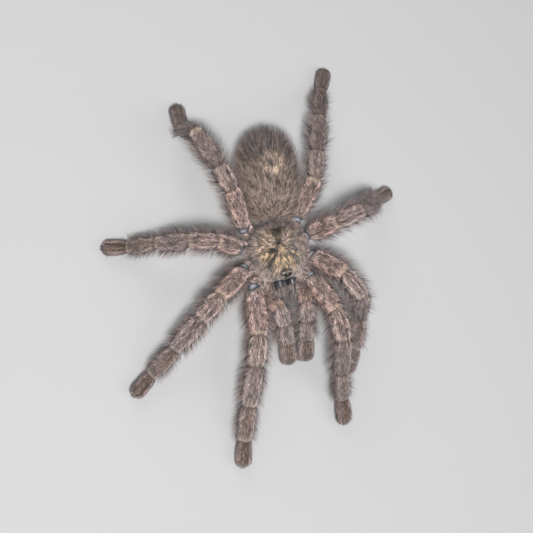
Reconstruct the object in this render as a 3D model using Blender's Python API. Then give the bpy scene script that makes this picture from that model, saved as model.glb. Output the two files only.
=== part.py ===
"""A life-size tarantula at rest, as a set of closed solids.

Frame: metres, +Z up, the head towards -Y and the animal's left side towards +X. The
feet stand on Z = 0 and the origin is under the middle of the animal's outline box.
Every solid is as large as the dense coat that covers it, out to the tips of the coat.
Sizes below are in millimetres and angles in degrees.
"""

import math
from dataclasses import dataclass

import bpy
import numpy as np

MM = 0.001
GAP = 0.3                       # clearance between neighbouring solids

# Front part of the body. The carapace is centred on the body axis, X = 0.
CARAPACE_FRONT_Y = -10.3
CARAPACE_REAR_Y = 10.2
CARAPACE_HALF_WIDTH = 9.6
CARAPACE_FRONT_TAPER = 0.30     # share of the half width lost at the front edge
CARAPACE_REAR_TAPER = 0.14
CARAPACE_WIDEST_Y = 2.2
CARAPACE_UNDERSIDE_Z = 9.8
CARAPACE_RIM = 1.3              # height of the upright rim
CARAPACE_HEAD_RISE = 5.4        # crown of the head region above the rim
CARAPACE_REAR_RISE = 2.6
FOVEA_Y = 4.0                   # the pit in the middle of the carapace
FOVEA_DEPTH = 0.7

TUBERCLE_Y = -7.5               # the low hump that carries the eyes
TUBERCLE_HALF_WIDTH = 2.15
TUBERCLE_HALF_LENGTH = 1.65
TUBERCLE_RISE = 1.25
TUBERCLE_TILT = 16.0            # its base leans forwards with the carapace

STERNUM_FRONT_Y = -8.0
STERNUM_REAR_Y = 9.0
STERNUM_HALF_WIDTH = 3.9
STERNUM_BOTTOM_Z = 3.3

CHELICERA_X = 2.37
CHELICERA_BASE_Y = -10.7
CHELICERA_LENGTH = 8.0
CHELICERA_BASE_Z = 10.7
CHELICERA_DROP = 3.0            # how far its axis sinks from base to front
CHELICERA_HALF_WIDTH = 2.2
CHELICERA_HALF_HEIGHT = 3.5

FANG_BEND_Y = -15.2             # centre of the arc that a fang follows
FANG_BEND_Z = 5.0
FANG_BEND_RADIUS = 2.3
FANG_SWEEP = (4.0, 135.0)
FANG_RADII = (0.62, 0.28)

PEDICEL_RADIUS = 1.5
PEDICEL_Z = 8.6

# Hind part of the body, turned a little towards the animal's left.
ABDOMEN_FRONT_Y = 11.6
ABDOMEN_LENGTH = 32.6
ABDOMEN_HALF_WIDTH = 10.9
ABDOMEN_HALF_HEIGHT = 9.3
ABDOMEN_CENTRE_Z = 11.8
ABDOMEN_YAW = 6.0
ABDOMEN_FULLNESS = 2.3          # exponent of its outline: 2 is an ellipse
ABDOMEN_REAR_SWELL = 0.12       # the rear is this much wider than the front

SPINNERET_ROOT = (1.9, 42.6, 6.9)   # on the left, before the abdomen is turned
SPINNERET_LENGTHS = (2.0, 1.6, 1.4)
SPINNERET_HEADING = 167.0
SPINNERET_PITCH = 10.0
SPINNERET_RADII = (1.3, 0.6)
SPINNERET_BASE_SLOPE = 45.0     # its base leans parallel to the abdomen beside it

# Limbs. A heading is measured outwards from straight ahead, a pitch upwards from level.
LIMB_SIDES = 12
ANKLE_Z = 3.2                   # height of a foot's rear end, at stoutness 1
TOE_Z = 2.4                     # height of a foot's front end
PALP_TOE_Z = 2.3


@dataclass(frozen=True)
class Swell:
    """Half width of one limb segment: at its start, at its end, and added midway."""

    start: float
    end: float
    middle: float
    tallness: float = 1.0

    def half_width(self, station: float) -> float:
        """Half width at a station from 0 to 1: a straight taper plus half a sine wave."""
        taper = self.start + (self.end - self.start) * station
        return taper + self.middle * math.sin(math.pi * station)


COXA = Swell(1.85, 3.05, 0.3)
FEMUR = Swell(3.0, 3.25, 0.75, 1.08)
PATELLA = Swell(3.25, 3.25, 0.45)
TIBIA = Swell(3.25, 2.95, 0.5)
METATARSUS = Swell(2.9, 2.85, 0.6, 0.94)
TARSUS = Swell(2.8, 2.95, 0.4, 0.95)

PALP_COXA = Swell(1.25, 1.7, 0.0)
PALP_FEMUR = Swell(1.7, 2.35, 0.1, 1.05)
PALP_PATELLA = Swell(2.4, 2.8, 0.3)
PALP_TIBIA = Swell(2.8, 2.75, 0.3)
PALP_TARSUS = Swell(2.7, 2.85, 0.4, 0.86)


@dataclass(frozen=True)
class LegPlan:
    """What the left and the right leg of one pair share."""

    coxa: tuple                 # inner end of the coxa, on the left side
    hip: tuple                  # start of the femur, on the left side
    lengths: tuple              # femur, patella, tibia, metatarsus, tarsus
    stoutness: float


@dataclass(frozen=True)
class LegPose:
    """How one leg is held."""

    headings: tuple             # femur, patella, tibia, metatarsus, tarsus
    pitches: tuple              # femur, patella, tibia; the rest reaches the floor


LEG_PLANS = {
    1: LegPlan((5.0, -6.0, 5.6), (11.2, -10.8, 8.2), (18.0, 11.0, 15.7, 14.0, 10.6), 1.0),
    2: LegPlan((6.2, -2.2, 5.6), (13.8, -3.3, 8.2), (16.5, 10.4, 14.8, 13.5, 10.4), 0.96),
    3: LegPlan((6.2, 2.2, 5.6), (13.6, 5.0, 8.2), (14.0, 10.0, 12.6, 12.2, 9.6), 0.9),
    4: LegPlan((4.6, 6.2, 5.6), (10.4, 12.0, 8.2), (17.5, 10.0, 15.3, 16.0, 10.0), 0.92),
}

LEG_POSES = {
    ("left", 1): LegPose((13, -2, 0, 5, -4), (36, 11, -38)),
    ("left", 2): LegPose((36, 26, 13, -11, -32), (47, 1, -55)),
    ("left", 3): LegPose((103, 104, 105, 105, 105), (48, 21, -39)),
    ("left", 4): LegPose((150, 161, 158, 150, 155), (33, -6, -19)),
    ("right", 1): LegPose((12, 16, 18, 15, 14), (18, -8, -18)),
    ("right", 2): LegPose((60, 51, 50, 51, 53), (28, -5, -24)),
    ("right", 3): LegPose((110, 102, 99, 97, 100), (39, 4, -35)),
    ("right", 4): LegPose((164, 155, 160, 168, 178), (33, 22, -12)),
}

PALP_COXA_END = (2.8, -8.8, 4.6)
PALP_HIP = (7.25, -15.4, 6.4)
PALP_LENGTHS = (8.6, 7.4, 8.4, 9.8)     # femur, patella, tibia, tarsus
PALP_POSES = {
    "left": LegPose((-20, -1, -4, -8), (57, -29, -31)),
    "right": LegPose((-32, -11, -6, -2), (56, -29, -28)),
}


@dataclass(frozen=True)
class Eye:
    """One eye of the left half: its place on the tubercle and its half sizes."""

    name: str
    x: float
    y: float
    half_width: float
    half_length: float
    rise: float


EYE_LIFT = 0.12                 # clearance between an eye and the tubercle
EYES = (
    Eye("front_middle", 0.80, -0.30, 0.52, 0.52, 0.42),
    Eye("front_side", 1.42, -0.98, 0.34, 0.34, 0.30),
    Eye("rear_side", 1.72, 0.30, 0.30, 0.42, 0.30),
    Eye("rear_middle", 1.02, 0.72, 0.26, 0.26, 0.24),
)

COAT_BROWN = (0.16, 0.105, 0.085)
CARAPACE_OLIVE = (0.20, 0.155, 0.10)
ABDOMEN_BROWN = (0.17, 0.115, 0.08)
EYE_BLACK = (0.01, 0.01, 0.012)
FANG_BLACK = (0.02, 0.012, 0.01)


class Model:
    """Collects the solids, then places and creates them as objects."""

    def __init__(self) -> None:
        """Start with no solids."""
        self.solids: dict[str, tuple] = {}

    def add(self, name: str, rings: np.ndarray, colour: tuple, roughness: float = 0.8) -> None:
        """Add a solid that is a stack of rings, closed by a fan over each end ring.

        Args:
            name: The node's name.
            rings: Corners, as an array of ring, place round the ring, and X Y Z. The
                rings turn so that the faces between them point outwards.
            colour: Linear base colour.
            roughness: Surface roughness.
        """
        ring_count, sides, _ = rings.shape
        corners = rings.reshape(-1, 3)
        faces = []
        for ring in range(ring_count - 1):
            for side in range(sides):
                here = ring * sides + side
                beside = ring * sides + (side + 1) % sides
                faces.append((here, beside, beside + sides, here + sides))
        first_middle = len(corners)
        last_middle = first_middle + 1
        middles = np.array([rings[0].mean(axis=0), rings[-1].mean(axis=0)])
        last = (ring_count - 1) * sides
        for side in range(sides):
            beside = (side + 1) % sides
            faces.append((first_middle, beside, side))
            faces.append((last_middle, last + side, last + beside))
        self.solids[name] = (np.vstack([corners, middles]), faces, colour, roughness)

    def build(self) -> None:
        """Centre the animal over the origin and create one object per solid."""
        every_corner = np.vstack([solid[0] for solid in self.solids.values()])
        middle = (every_corner.min(axis=0) + every_corner.max(axis=0)) / 2.0
        shift = np.array([middle[0], middle[1], 0.0])
        for name, (corners, faces, colour, roughness) in self.solids.items():
            mesh = bpy.data.meshes.new(name)
            mesh.from_pydata(((corners - shift) * MM).tolist(), [], faces)
            mesh.materials.append(coat_material(name, colour, roughness))
            mesh.shade_smooth()
            mesh.update()
            bpy.context.scene.collection.objects.link(bpy.data.objects.new(name, mesh))


def coat_material(name: str, colour: tuple, roughness: float) -> bpy.types.Material:
    """Make a plain Principled material for one solid."""
    material = bpy.data.materials.new(name)
    material.use_nodes = True
    shader = material.node_tree.nodes["Principled BSDF"]
    shader.inputs["Base Color"].default_value = (*colour, 1.0)
    shader.inputs["Roughness"].default_value = roughness
    return material


def unit(vector: np.ndarray) -> np.ndarray:
    """The vector at length 1."""
    return vector / np.linalg.norm(vector)


def direction(side: float, heading: float, pitch: float) -> np.ndarray:
    """Unit vector of a heading and a pitch; side is 1 on the left and -1 on the right."""
    level = math.cos(math.radians(pitch))
    outward = side * math.sin(math.radians(heading)) * level
    forward = math.cos(math.radians(heading)) * level
    return np.array([outward, -forward, math.sin(math.radians(pitch))])


def turn_points(count: int) -> np.ndarray:
    """Evenly spaced angles once round, in radians, half a step from zero."""
    return (np.arange(count) + 0.5) * 2.0 * math.pi / count


def cross_axes(along: np.ndarray) -> tuple:
    """Level and raised axes of the cross-section of a limb that runs along a vector."""
    level = unit(np.cross(np.array([0.0, 0.0, 1.0]), along))
    raised = np.cross(along, level)
    return level, raised


def segment_rings(start: np.ndarray, end: np.ndarray, planes: tuple, swell: Swell,
                  stoutness: float, stations: tuple, sides: int = LIMB_SIDES) -> list:
    """Rings round one limb segment.

    Each corner of a ring slides along the segment's axis. At either end the slide
    brings it onto the plane that the segment shares with its neighbour, and between
    the ends the two slides are mixed by the station, so the rings lean over evenly.

    Args:
        start: First end of the segment's axis.
        end: Last end of the segment's axis.
        planes: Normals of the planes through the start and the end.
        swell: The segment's half widths.
        stoutness: Multiplies the half widths.
        stations: Places of the rings, from 0 at the start to 1 at the end.
        sides: Corners of a ring.

    Returns:
        One array of corners for each station.
    """
    axis = end - start
    along = unit(axis)
    level, raised = cross_axes(along)
    angles = turn_points(sides)
    rings = []
    for station in stations:
        half_width = swell.half_width(station) * stoutness
        half_height = half_width * swell.tallness
        offsets = (np.outer(np.cos(angles) * half_width, level)
                   + np.outer(np.sin(angles) * half_height, raised))
        slide_start = -(offsets @ planes[0]) / (along @ planes[0])
        slide_end = -(offsets @ planes[1]) / (along @ planes[1])
        slide = (1.0 - station) * slide_start + station * slide_end
        rings.append(start + axis * station + offsets + np.outer(slide, along))
    return rings


def joint_planes(path: list) -> list:
    """Normals of the planes at a path's points, halfway between the runs that meet."""
    runs = [unit(path[index + 1] - path[index]) for index in range(len(path) - 1)]
    inner = [unit(runs[index] + runs[index + 1]) for index in range(len(runs) - 1)]
    return [runs[0]] + inner + [runs[-1]]


def set_back(point: np.ndarray, towards: np.ndarray) -> np.ndarray:
    """A segment's end, half a gap back from its joint."""
    return point + unit(towards - point) * GAP / 2.0


def stack(rings: list) -> np.ndarray:
    """Rings as one array, kept above the floor."""
    corners = np.array(rings)
    corners[..., 2] = np.maximum(corners[..., 2], 0.0)
    return corners


def limb_path(side: float, coxa: tuple, hip: tuple, lengths: tuple, pose: LegPose,
              heights: tuple) -> list:
    """Points of a limb's axis from the inner end of its coxa to its toe.

    The segments in pose.pitches are laid out by heading and pitch. Each segment after
    them takes the pitch whose sine is its fall over its length, so that it ends at
    the given height.

    Args:
        side: 1 on the left and -1 on the right.
        coxa: Inner end of the coxa on the left side.
        hip: Start of the femur on the left side.
        lengths: Lengths of the segments from the femur on.
        pose: Headings, and the pitches of the first segments.
        heights: Heights at which the last segments end.

    Returns:
        The points in order.
    """
    mirror = np.array([side, 1.0, 1.0])
    path = [np.array(coxa) * mirror, np.array(hip) * mirror]
    for index, (length, heading) in enumerate(zip(lengths, pose.headings)):
        if index < len(pose.pitches):
            pitch = pose.pitches[index]
        else:
            fall = heights[index - len(pose.pitches)] - path[-1][2]
            pitch = math.degrees(math.asin(fall / length))
        path.append(path[-1] + direction(side, heading, pitch) * length)
    return path


def rounded_end(swell: Swell, stoutness: float, start: np.ndarray, end: np.ndarray,
                planes: tuple, full_to: float) -> list:
    """Rings of a foot: full up to a station, then drawn in along a quarter circle."""
    rings = segment_rings(start, end, planes, swell, stoutness, (0.0, 0.22, 0.48, full_to))
    for quarter in (0.45, 0.75, 0.95):
        station = full_to + (1.0 - full_to) * quarter
        drawn_in = stoutness * math.sqrt(1.0 - quarter * quarter)
        rings += segment_rings(start, end, planes, swell, drawn_in, (station,))
    return rings


def add_leg(model: Model, side_name: str, pair: int) -> None:
    """Add the four solids of one leg: thigh, shank, metatarsus and foot."""
    side = 1.0 if side_name == "left" else -1.0
    plan = LEG_PLANS[pair]
    stout = plan.stoutness
    pose = LEG_POSES[side_name, pair]
    path = limb_path(side, plan.coxa, plan.hip, plan.lengths, pose,
                     (ANKLE_Z * stout, TOE_Z * stout))
    planes = joint_planes(path)
    coxa, hip, knee, shin, heel, ankle, toe = path
    label = f"leg_{pair}_{side_name}"

    thigh = segment_rings(coxa, hip, planes[0:2], COXA, stout, (0.0, 0.5))
    thigh += segment_rings(hip, set_back(knee, hip), planes[1:3], FEMUR, stout,
                           (0.0, 0.16, 0.4, 0.65, 0.86, 1.0))
    model.add(f"{label}_femur", stack(thigh), COAT_BROWN)

    shank = segment_rings(set_back(knee, shin), shin, planes[2:4], PATELLA, stout,
                          (0.0, 0.3, 0.7))
    shank += segment_rings(shin, set_back(heel, shin), planes[3:5], TIBIA, stout,
                           (0.0, 0.25, 0.55, 0.85, 1.0))
    model.add(f"{label}_tibia", stack(shank), COAT_BROWN)

    span = segment_rings(set_back(heel, ankle), set_back(ankle, heel), planes[4:6],
                         METATARSUS, stout, (0.0, 0.22, 0.5, 0.78, 1.0))
    model.add(f"{label}_metatarsus", stack(span), COAT_BROWN)

    foot = rounded_end(TARSUS, stout, set_back(ankle, toe), toe, planes[5:7], 0.72)
    model.add(f"{label}_tarsus", stack(foot), COAT_BROWN)


def add_palp(model: Model, side_name: str) -> None:
    """Add the three solids of one palp: thigh, shank and foot."""
    side = 1.0 if side_name == "left" else -1.0
    path = limb_path(side, PALP_COXA_END, PALP_HIP, PALP_LENGTHS, PALP_POSES[side_name],
                     (PALP_TOE_Z,))
    planes = joint_planes(path)
    coxa, hip, knee, shin, ankle, toe = path

    thigh = segment_rings(coxa, hip, planes[0:2], PALP_COXA, 1.0, (0.0, 0.5))
    thigh += segment_rings(hip, set_back(knee, hip), planes[1:3], PALP_FEMUR, 1.0,
                           (0.0, 0.3, 0.65, 1.0))
    model.add(f"palp_{side_name}_femur", stack(thigh), COAT_BROWN)

    shank = segment_rings(set_back(knee, shin), shin, planes[2:4], PALP_PATELLA, 1.0,
                          (0.0, 0.5))
    shank += segment_rings(shin, set_back(ankle, shin), planes[3:5], PALP_TIBIA, 1.0,
                           (0.0, 0.33, 0.67, 1.0))
    model.add(f"palp_{side_name}_tibia", stack(shank), COAT_BROWN)

    foot = rounded_end(PALP_TARSUS, 1.0, set_back(ankle, toe), toe, planes[4:6], 0.66)
    model.add(f"palp_{side_name}_tarsus", stack(foot), COAT_BROWN)


def carapace_outline(count: int) -> np.ndarray:
    """Corners of the carapace's edge, anticlockwise from above.

    Cosine and sine are raised to powers below one, which squares the corners of an
    ellipse. The half width then falls towards the front and the rear by a power of the
    distance from the widest line.
    """
    angles = turn_points(count)
    middle_y = (CARAPACE_FRONT_Y + CARAPACE_REAR_Y) / 2.0
    half_length = (CARAPACE_REAR_Y - CARAPACE_FRONT_Y) / 2.0
    across = np.sign(np.cos(angles)) * np.abs(np.cos(angles)) ** 0.52
    along = np.sign(np.sin(angles)) * np.abs(np.sin(angles)) ** 0.57
    y = middle_y + half_length * along
    ahead = np.clip((CARAPACE_WIDEST_Y - y) / (CARAPACE_WIDEST_Y - CARAPACE_FRONT_Y), 0.0, 1.0)
    behind = np.clip((y - CARAPACE_WIDEST_Y) / (CARAPACE_REAR_Y - CARAPACE_WIDEST_Y), 0.0, 1.0)
    narrowing = 1.0 - CARAPACE_FRONT_TAPER * ahead ** 1.4 - CARAPACE_REAR_TAPER * behind ** 1.6
    return np.stack([CARAPACE_HALF_WIDTH * across * narrowing, y], axis=1)


def carapace_rise(y: np.ndarray, share: np.ndarray) -> np.ndarray:
    """Height above the rim at a length position and a share of the way to the edge.

    The midline falls from the head region to the rear along a smooth step, and dips at
    the fovea along a bell curve. The fall to the rim follows a power of the share, which
    grows towards the front so that the head region stays level up to its steep face.
    """
    step = np.clip((y - CARAPACE_FRONT_Y - 7.0) / 13.5, 0.0, 1.0)
    step = step * step * (3.0 - 2.0 * step)
    midline = CARAPACE_HEAD_RISE + (CARAPACE_REAR_RISE - CARAPACE_HEAD_RISE) * step
    pit = FOVEA_DEPTH * np.exp(-((y - FOVEA_Y) / 1.8) ** 2) * np.clip(1.0 - 3.0 * share, 0.0, 1.0)
    ahead = np.clip((FOVEA_Y - y) / (FOVEA_Y - CARAPACE_FRONT_Y), 0.0, 1.0)
    power = 2.6 + 5.4 * ahead ** 2
    return midline * np.clip(1.0 - share ** power, 0.0, 1.0) ** 0.8 - pit


def add_carapace(model: Model) -> None:
    """Add the carapace: a dome of shrinking outlines over an upright rim."""
    outline = carapace_outline(28)
    middle = np.array([0.0, FOVEA_Y - 2.0])
    rim_z = CARAPACE_UNDERSIDE_Z + CARAPACE_RIM
    underside = np.full(len(outline), CARAPACE_UNDERSIDE_Z)
    rings = [np.column_stack([middle + (outline - middle) * 0.9, underside]),
             np.column_stack([outline, underside + 0.25]),
             np.column_stack([outline, np.full(len(outline), rim_z)])]
    for share in (0.96, 0.86, 0.7, 0.5, 0.28, 0.1):
        flat = middle + (outline - middle) * share
        height = rim_z + carapace_rise(flat[:, 1], np.full(len(outline), share))
        rings.append(np.column_stack([flat, height]))
    model.add("carapace", np.array(rings), CARAPACE_OLIVE)


def carapace_top_z(y: float) -> float:
    """Height of the carapace on its midline."""
    share = abs(y - (FOVEA_Y - 2.0)) / (FOVEA_Y - 2.0 - CARAPACE_FRONT_Y)
    rise = carapace_rise(np.array([y]), np.array([share]))
    return CARAPACE_UNDERSIDE_Z + CARAPACE_RIM + float(rise[0])


def dome_rings(middle: np.ndarray, across: np.ndarray, along: np.ndarray, upward: np.ndarray,
               rise: float, sides: int, shares: tuple) -> np.ndarray:
    """Rings of a half ellipsoid on a flat base.

    Args:
        middle: Centre of the base.
        across: First half axis of the base.
        along: Second half axis of the base.
        upward: Unit vector away from the base.
        rise: Height of the dome.
        sides: Corners of a ring.
        shares: Ring sizes as shares of the base, from the base up.

    Returns:
        The rings as one array.
    """
    angles = turn_points(sides)
    rings = []
    for share in shares:
        flat = np.outer(np.cos(angles), across) + np.outer(np.sin(angles), along)
        height = rise * math.sqrt(max(0.0, 1.0 - share * share))
        rings.append(middle + flat * share + upward * height)
    return np.array(rings)


def tubercle_axes() -> tuple:
    """Centre of the tubercle's base, its axis along the body and the one away from it."""
    tilt = math.radians(TUBERCLE_TILT)
    along = np.array([0.0, math.cos(tilt), math.sin(tilt)])
    upward = np.array([0.0, -math.sin(tilt), math.cos(tilt)])
    middle = np.array([0.0, TUBERCLE_Y, carapace_top_z(TUBERCLE_Y)]) + upward * GAP
    return middle, along, upward


def tubercle_point(x: float, y: float) -> tuple:
    """Point and outward normal of the tubercle's dome over a place on its base."""
    middle, along, upward = tubercle_axes()
    across = np.array([1.0, 0.0, 0.0])
    u = x / TUBERCLE_HALF_WIDTH
    v = y / TUBERCLE_HALF_LENGTH
    root = math.sqrt(1.0 - u * u - v * v)
    point = middle + across * x + along * y + upward * TUBERCLE_RISE * root
    normal = unit(across * u / TUBERCLE_HALF_WIDTH + along * v / TUBERCLE_HALF_LENGTH
                  + upward * root / TUBERCLE_RISE)
    return point, normal


def add_eyes(model: Model) -> None:
    """Add the tubercle and four domed eyes on each half of it."""
    middle, along, upward = tubercle_axes()
    tubercle = dome_rings(middle, np.array([TUBERCLE_HALF_WIDTH, 0.0, 0.0]),
                          along * TUBERCLE_HALF_LENGTH, upward, TUBERCLE_RISE, 16,
                          (1.0, 0.94, 0.78, 0.5, 0.2))
    model.add("eye_tubercle", tubercle, EYE_BLACK)
    for eye in EYES:
        for side_name, side in (("left", 1.0), ("right", -1.0)):
            point, normal = tubercle_point(side * eye.x, eye.y)
            eye_across = unit(np.cross(along, normal))
            eye_along = np.cross(normal, eye_across)
            dome = dome_rings(point + normal * EYE_LIFT, eye_across * eye.half_width,
                              eye_along * eye.half_length, normal, eye.rise, 10,
                              (1.0, 0.86, 0.45))
            model.add(f"eye_{eye.name}_{side_name}", dome, EYE_BLACK, 0.1)


def add_sternum(model: Model) -> None:
    """Add the heart-shaped plate between the coxae, with the body's core above it."""
    angles = turn_points(18)
    middle_y = (STERNUM_FRONT_Y + STERNUM_REAR_Y) / 2.0
    half_length = (STERNUM_REAR_Y - STERNUM_FRONT_Y) / 2.0
    y = middle_y + half_length * np.sin(angles)
    narrowing = 1.0 - 0.28 * np.sin(angles)
    outline = np.stack([STERNUM_HALF_WIDTH * np.cos(angles) * narrowing, y], axis=1)
    middle = np.array([0.0, middle_y])
    rings = []
    for share, z in ((0.72, STERNUM_BOTTOM_Z), (0.95, STERNUM_BOTTOM_Z + 0.5),
                     (1.0, STERNUM_BOTTOM_Z + 1.4), (0.92, CARAPACE_UNDERSIDE_Z - GAP)):
        flat = middle + (outline - middle) * share
        rings.append(np.column_stack([flat, np.full(len(flat), z)]))
    model.add("sternum", np.array(rings), COAT_BROWN)


def add_chelicerae(model: Model) -> None:
    """Add both chelicerae and the fangs folded under them.

    A chelicera's axis runs forwards and sinks with the square of the distance. Its
    half sizes shrink the same way, and a quarter circle rounds its front.
    """
    angles = turn_points(14)
    for side_name, side in (("left", 1.0), ("right", -1.0)):
        rings = []
        for station in (0.0, 0.12, 0.3, 0.5, 0.68, 0.82, 0.92, 0.98):
            drawn_in = math.sqrt(1.0 - max(0.0, (station - 0.6) / 0.4) ** 2.4)
            half_width = CHELICERA_HALF_WIDTH * (1.0 - 0.38 * station ** 2) * drawn_in
            half_height = CHELICERA_HALF_HEIGHT * (1.0 - 0.42 * station ** 2) * drawn_in
            middle = np.array([side * (CHELICERA_X - 0.5 * station ** 2),
                               CHELICERA_BASE_Y - CHELICERA_LENGTH * station,
                               CHELICERA_BASE_Z - CHELICERA_DROP * station ** 2])
            offsets = np.column_stack([np.cos(angles) * half_width, np.zeros(len(angles)),
                                       np.sin(angles) * half_height])
            rings.append(middle + offsets)
        model.add(f"chelicera_{side_name}", np.array(rings), COAT_BROWN)

        start, end = FANG_SWEEP
        fang = []
        for station in np.linspace(0.0, 1.0, 7):
            bend = math.radians(start + (end - start) * station)
            outward = np.array([0.0, -math.cos(bend), -math.sin(bend)])
            radius = FANG_RADII[0] + (FANG_RADII[1] - FANG_RADII[0]) * station
            middle = (np.array([side * (1.95 - 0.35 * station), FANG_BEND_Y, FANG_BEND_Z])
                      + outward * FANG_BEND_RADIUS)
            ring_angles = turn_points(8)
            fang.append(middle + np.outer(np.cos(ring_angles) * radius, outward)
                        + np.outer(np.sin(ring_angles) * radius, np.array([-1.0, 0.0, 0.0])))
        model.add(f"fang_{side_name}", np.array(fang), FANG_BLACK, 0.2)


def turn_abdomen(points: np.ndarray) -> np.ndarray:
    """Turn points about the pedicel, by the yaw of the abdomen towards the left."""
    yaw = math.radians(ABDOMEN_YAW)
    pivot = np.array([0.0, ABDOMEN_FRONT_Y, 0.0])
    turn = np.array([[math.cos(yaw), math.sin(yaw), 0.0],
                     [-math.sin(yaw), math.cos(yaw), 0.0], [0.0, 0.0, 1.0]])
    return (points - pivot) @ turn.T + pivot


def abdomen_profile(station: float) -> float:
    """Share of the full girth at a station from the front, 0, to the rear, 1.

    A superellipse in the distance from the middle, widened evenly towards the rear.
    """
    reach = abs(2.0 * station - 1.0)
    girth = (1.0 - reach ** ABDOMEN_FULLNESS) ** (1.0 / ABDOMEN_FULLNESS)
    return girth * (1.0 - ABDOMEN_REAR_SWELL * (0.6 - station))


def add_abdomen(model: Model) -> None:
    """Add the pedicel, the abdomen and the two long spinnerets at its rear end."""
    waist = [np.array([0.0, CARAPACE_REAR_Y - 1.0 + GAP, PEDICEL_Z - 0.6]),
             np.array([0.0, ABDOMEN_FRONT_Y - GAP, PEDICEL_Z])]
    planes = joint_planes(waist)
    stem = segment_rings(waist[0], waist[1], planes, Swell(PEDICEL_RADIUS, PEDICEL_RADIUS, -0.2),
                         1.0, (0.0, 0.5, 1.0), 10)
    stem_low = np.array(stem)
    stem_low[..., 2] = np.minimum(stem_low[..., 2], CARAPACE_UNDERSIDE_Z - GAP)
    model.add("pedicel", stem_low, COAT_BROWN)

    angles = turn_points(22)
    rings = []
    for station in (0.004, 0.03, 0.09, 0.18, 0.3, 0.44, 0.58, 0.72, 0.84, 0.93, 0.98, 0.998):
        share = abdomen_profile(station)
        height = np.where(np.sin(angles) > 0.0, ABDOMEN_HALF_HEIGHT, ABDOMEN_HALF_HEIGHT * 0.94)
        ring = np.column_stack([
            -np.cos(angles) * ABDOMEN_HALF_WIDTH * share,
            np.full(len(angles), ABDOMEN_FRONT_Y + ABDOMEN_LENGTH * station),
            ABDOMEN_CENTRE_Z + np.sin(angles) * height * share])
        rings.append(ring)
    model.add("abdomen", turn_abdomen(np.array(rings)), ABDOMEN_BROWN)

    slope = math.radians(SPINNERET_BASE_SLOPE)
    base_normal = np.array([0.0, math.cos(slope), -math.sin(slope)])
    for side_name, side in (("left", 1.0), ("right", -1.0)):
        root = np.array(SPINNERET_ROOT) * np.array([side, 1.0, 1.0])
        tip = root + direction(side, SPINNERET_HEADING, SPINNERET_PITCH) * sum(SPINNERET_LENGTHS)
        planes = (base_normal, unit(tip - root))
        rings = []
        covered = 0.0
        for length, waist_share in zip(SPINNERET_LENGTHS, (1.0, 0.94, 0.94)):
            station = covered / sum(SPINNERET_LENGTHS)
            rings += segment_rings(root, tip, planes, Swell(*SPINNERET_RADII, 0.0),
                                   waist_share, (station,), 8)
            covered += length
            rings += segment_rings(root, tip, planes, Swell(*SPINNERET_RADII, 0.0), 1.0,
                                   ((covered - length * 0.25) / sum(SPINNERET_LENGTHS),), 8)
        rings += segment_rings(root, tip, planes, Swell(*SPINNERET_RADII, 0.0), 0.5, (1.0,), 8)
        model.add(f"spinneret_{side_name}", turn_abdomen(np.array(rings)), ABDOMEN_BROWN)


def main() -> None:
    """Clear the scene and build every solid of the animal."""
    for existing in list(bpy.data.objects):
        bpy.data.objects.remove(existing)
    model = Model()
    add_carapace(model)
    add_eyes(model)
    add_sternum(model)
    add_chelicerae(model)
    add_abdomen(model)
    for side_name in ("left", "right"):
        add_palp(model, side_name)
        for pair in LEG_PLANS:
            add_leg(model, side_name, pair)
    model.build()


main()
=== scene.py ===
"""The looks of a life-size tree-living tarantula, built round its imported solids.

Lengths are in millimetres and angles in degrees, in the body's own frame: X towards the
animal's left, Y from the head to the rear, Z up from the floor, and the body's middle
line at X = 0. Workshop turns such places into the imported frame, in metres.
"""

import logging
import math
from dataclasses import dataclass, field
from enum import Enum

import bpy
import numpy as np
from mathutils import Matrix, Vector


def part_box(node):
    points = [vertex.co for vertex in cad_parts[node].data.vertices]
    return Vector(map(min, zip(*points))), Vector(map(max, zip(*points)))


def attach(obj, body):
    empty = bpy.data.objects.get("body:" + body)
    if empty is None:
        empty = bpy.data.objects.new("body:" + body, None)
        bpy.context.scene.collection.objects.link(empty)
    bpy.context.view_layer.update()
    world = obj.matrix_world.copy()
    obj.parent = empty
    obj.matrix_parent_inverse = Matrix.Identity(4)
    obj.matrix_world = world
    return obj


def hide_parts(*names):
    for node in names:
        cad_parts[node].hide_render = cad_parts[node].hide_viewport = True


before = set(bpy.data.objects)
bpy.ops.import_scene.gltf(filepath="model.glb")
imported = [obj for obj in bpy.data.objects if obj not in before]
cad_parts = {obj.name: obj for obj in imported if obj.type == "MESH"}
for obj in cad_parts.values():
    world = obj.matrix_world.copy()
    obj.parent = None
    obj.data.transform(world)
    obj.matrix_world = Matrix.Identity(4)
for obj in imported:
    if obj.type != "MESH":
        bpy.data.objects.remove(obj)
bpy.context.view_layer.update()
LOG = logging.getLogger("tarantula")

Array = np.ndarray
Socket = bpy.types.NodeSocket
Material = bpy.types.Material

MM = 0.001
UP = np.array([0.0, 0.0, 1.0])
FLOOR_GAP = 0.02        # least height of hairs and claws, millimetres
SIDES = {"left": 1.0, "right": -1.0}


# ---------------------------------------------------------------- small formulas

def unit(vectors: Array) -> Array:
    """Vectors at length 1, along the last axis."""
    return vectors / np.maximum(np.linalg.norm(vectors, axis=-1, keepdims=True), 1e-9)


def bell(value: Array, centre: float, width: float) -> Array:
    """Bell curve of height 1: e to the minus square of the distance over the width."""
    return np.exp(-((value - centre) / width) ** 2)


def ramp(value: Array, low: float, high: float) -> Array:
    """Smooth step from 0 at low to 1 at high: 3 t squared less 2 t cubed."""
    t = np.clip((value - low) / (high - low), 0.0, 1.0)
    return t * t * (3.0 - 2.0 * t)


def fall(value: Array, low: float, high: float) -> Array:
    """Smooth step from 1 at low to 0 at high."""
    return 1.0 - ramp(value, low, high)


def between(value: Array, low: float, high: float, soft: float) -> Array:
    """Window that is 1 from low to high and fades to 0 over the soft margin outside."""
    return ramp(value, low - soft, low) * fall(value, high, high + soft)


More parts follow.
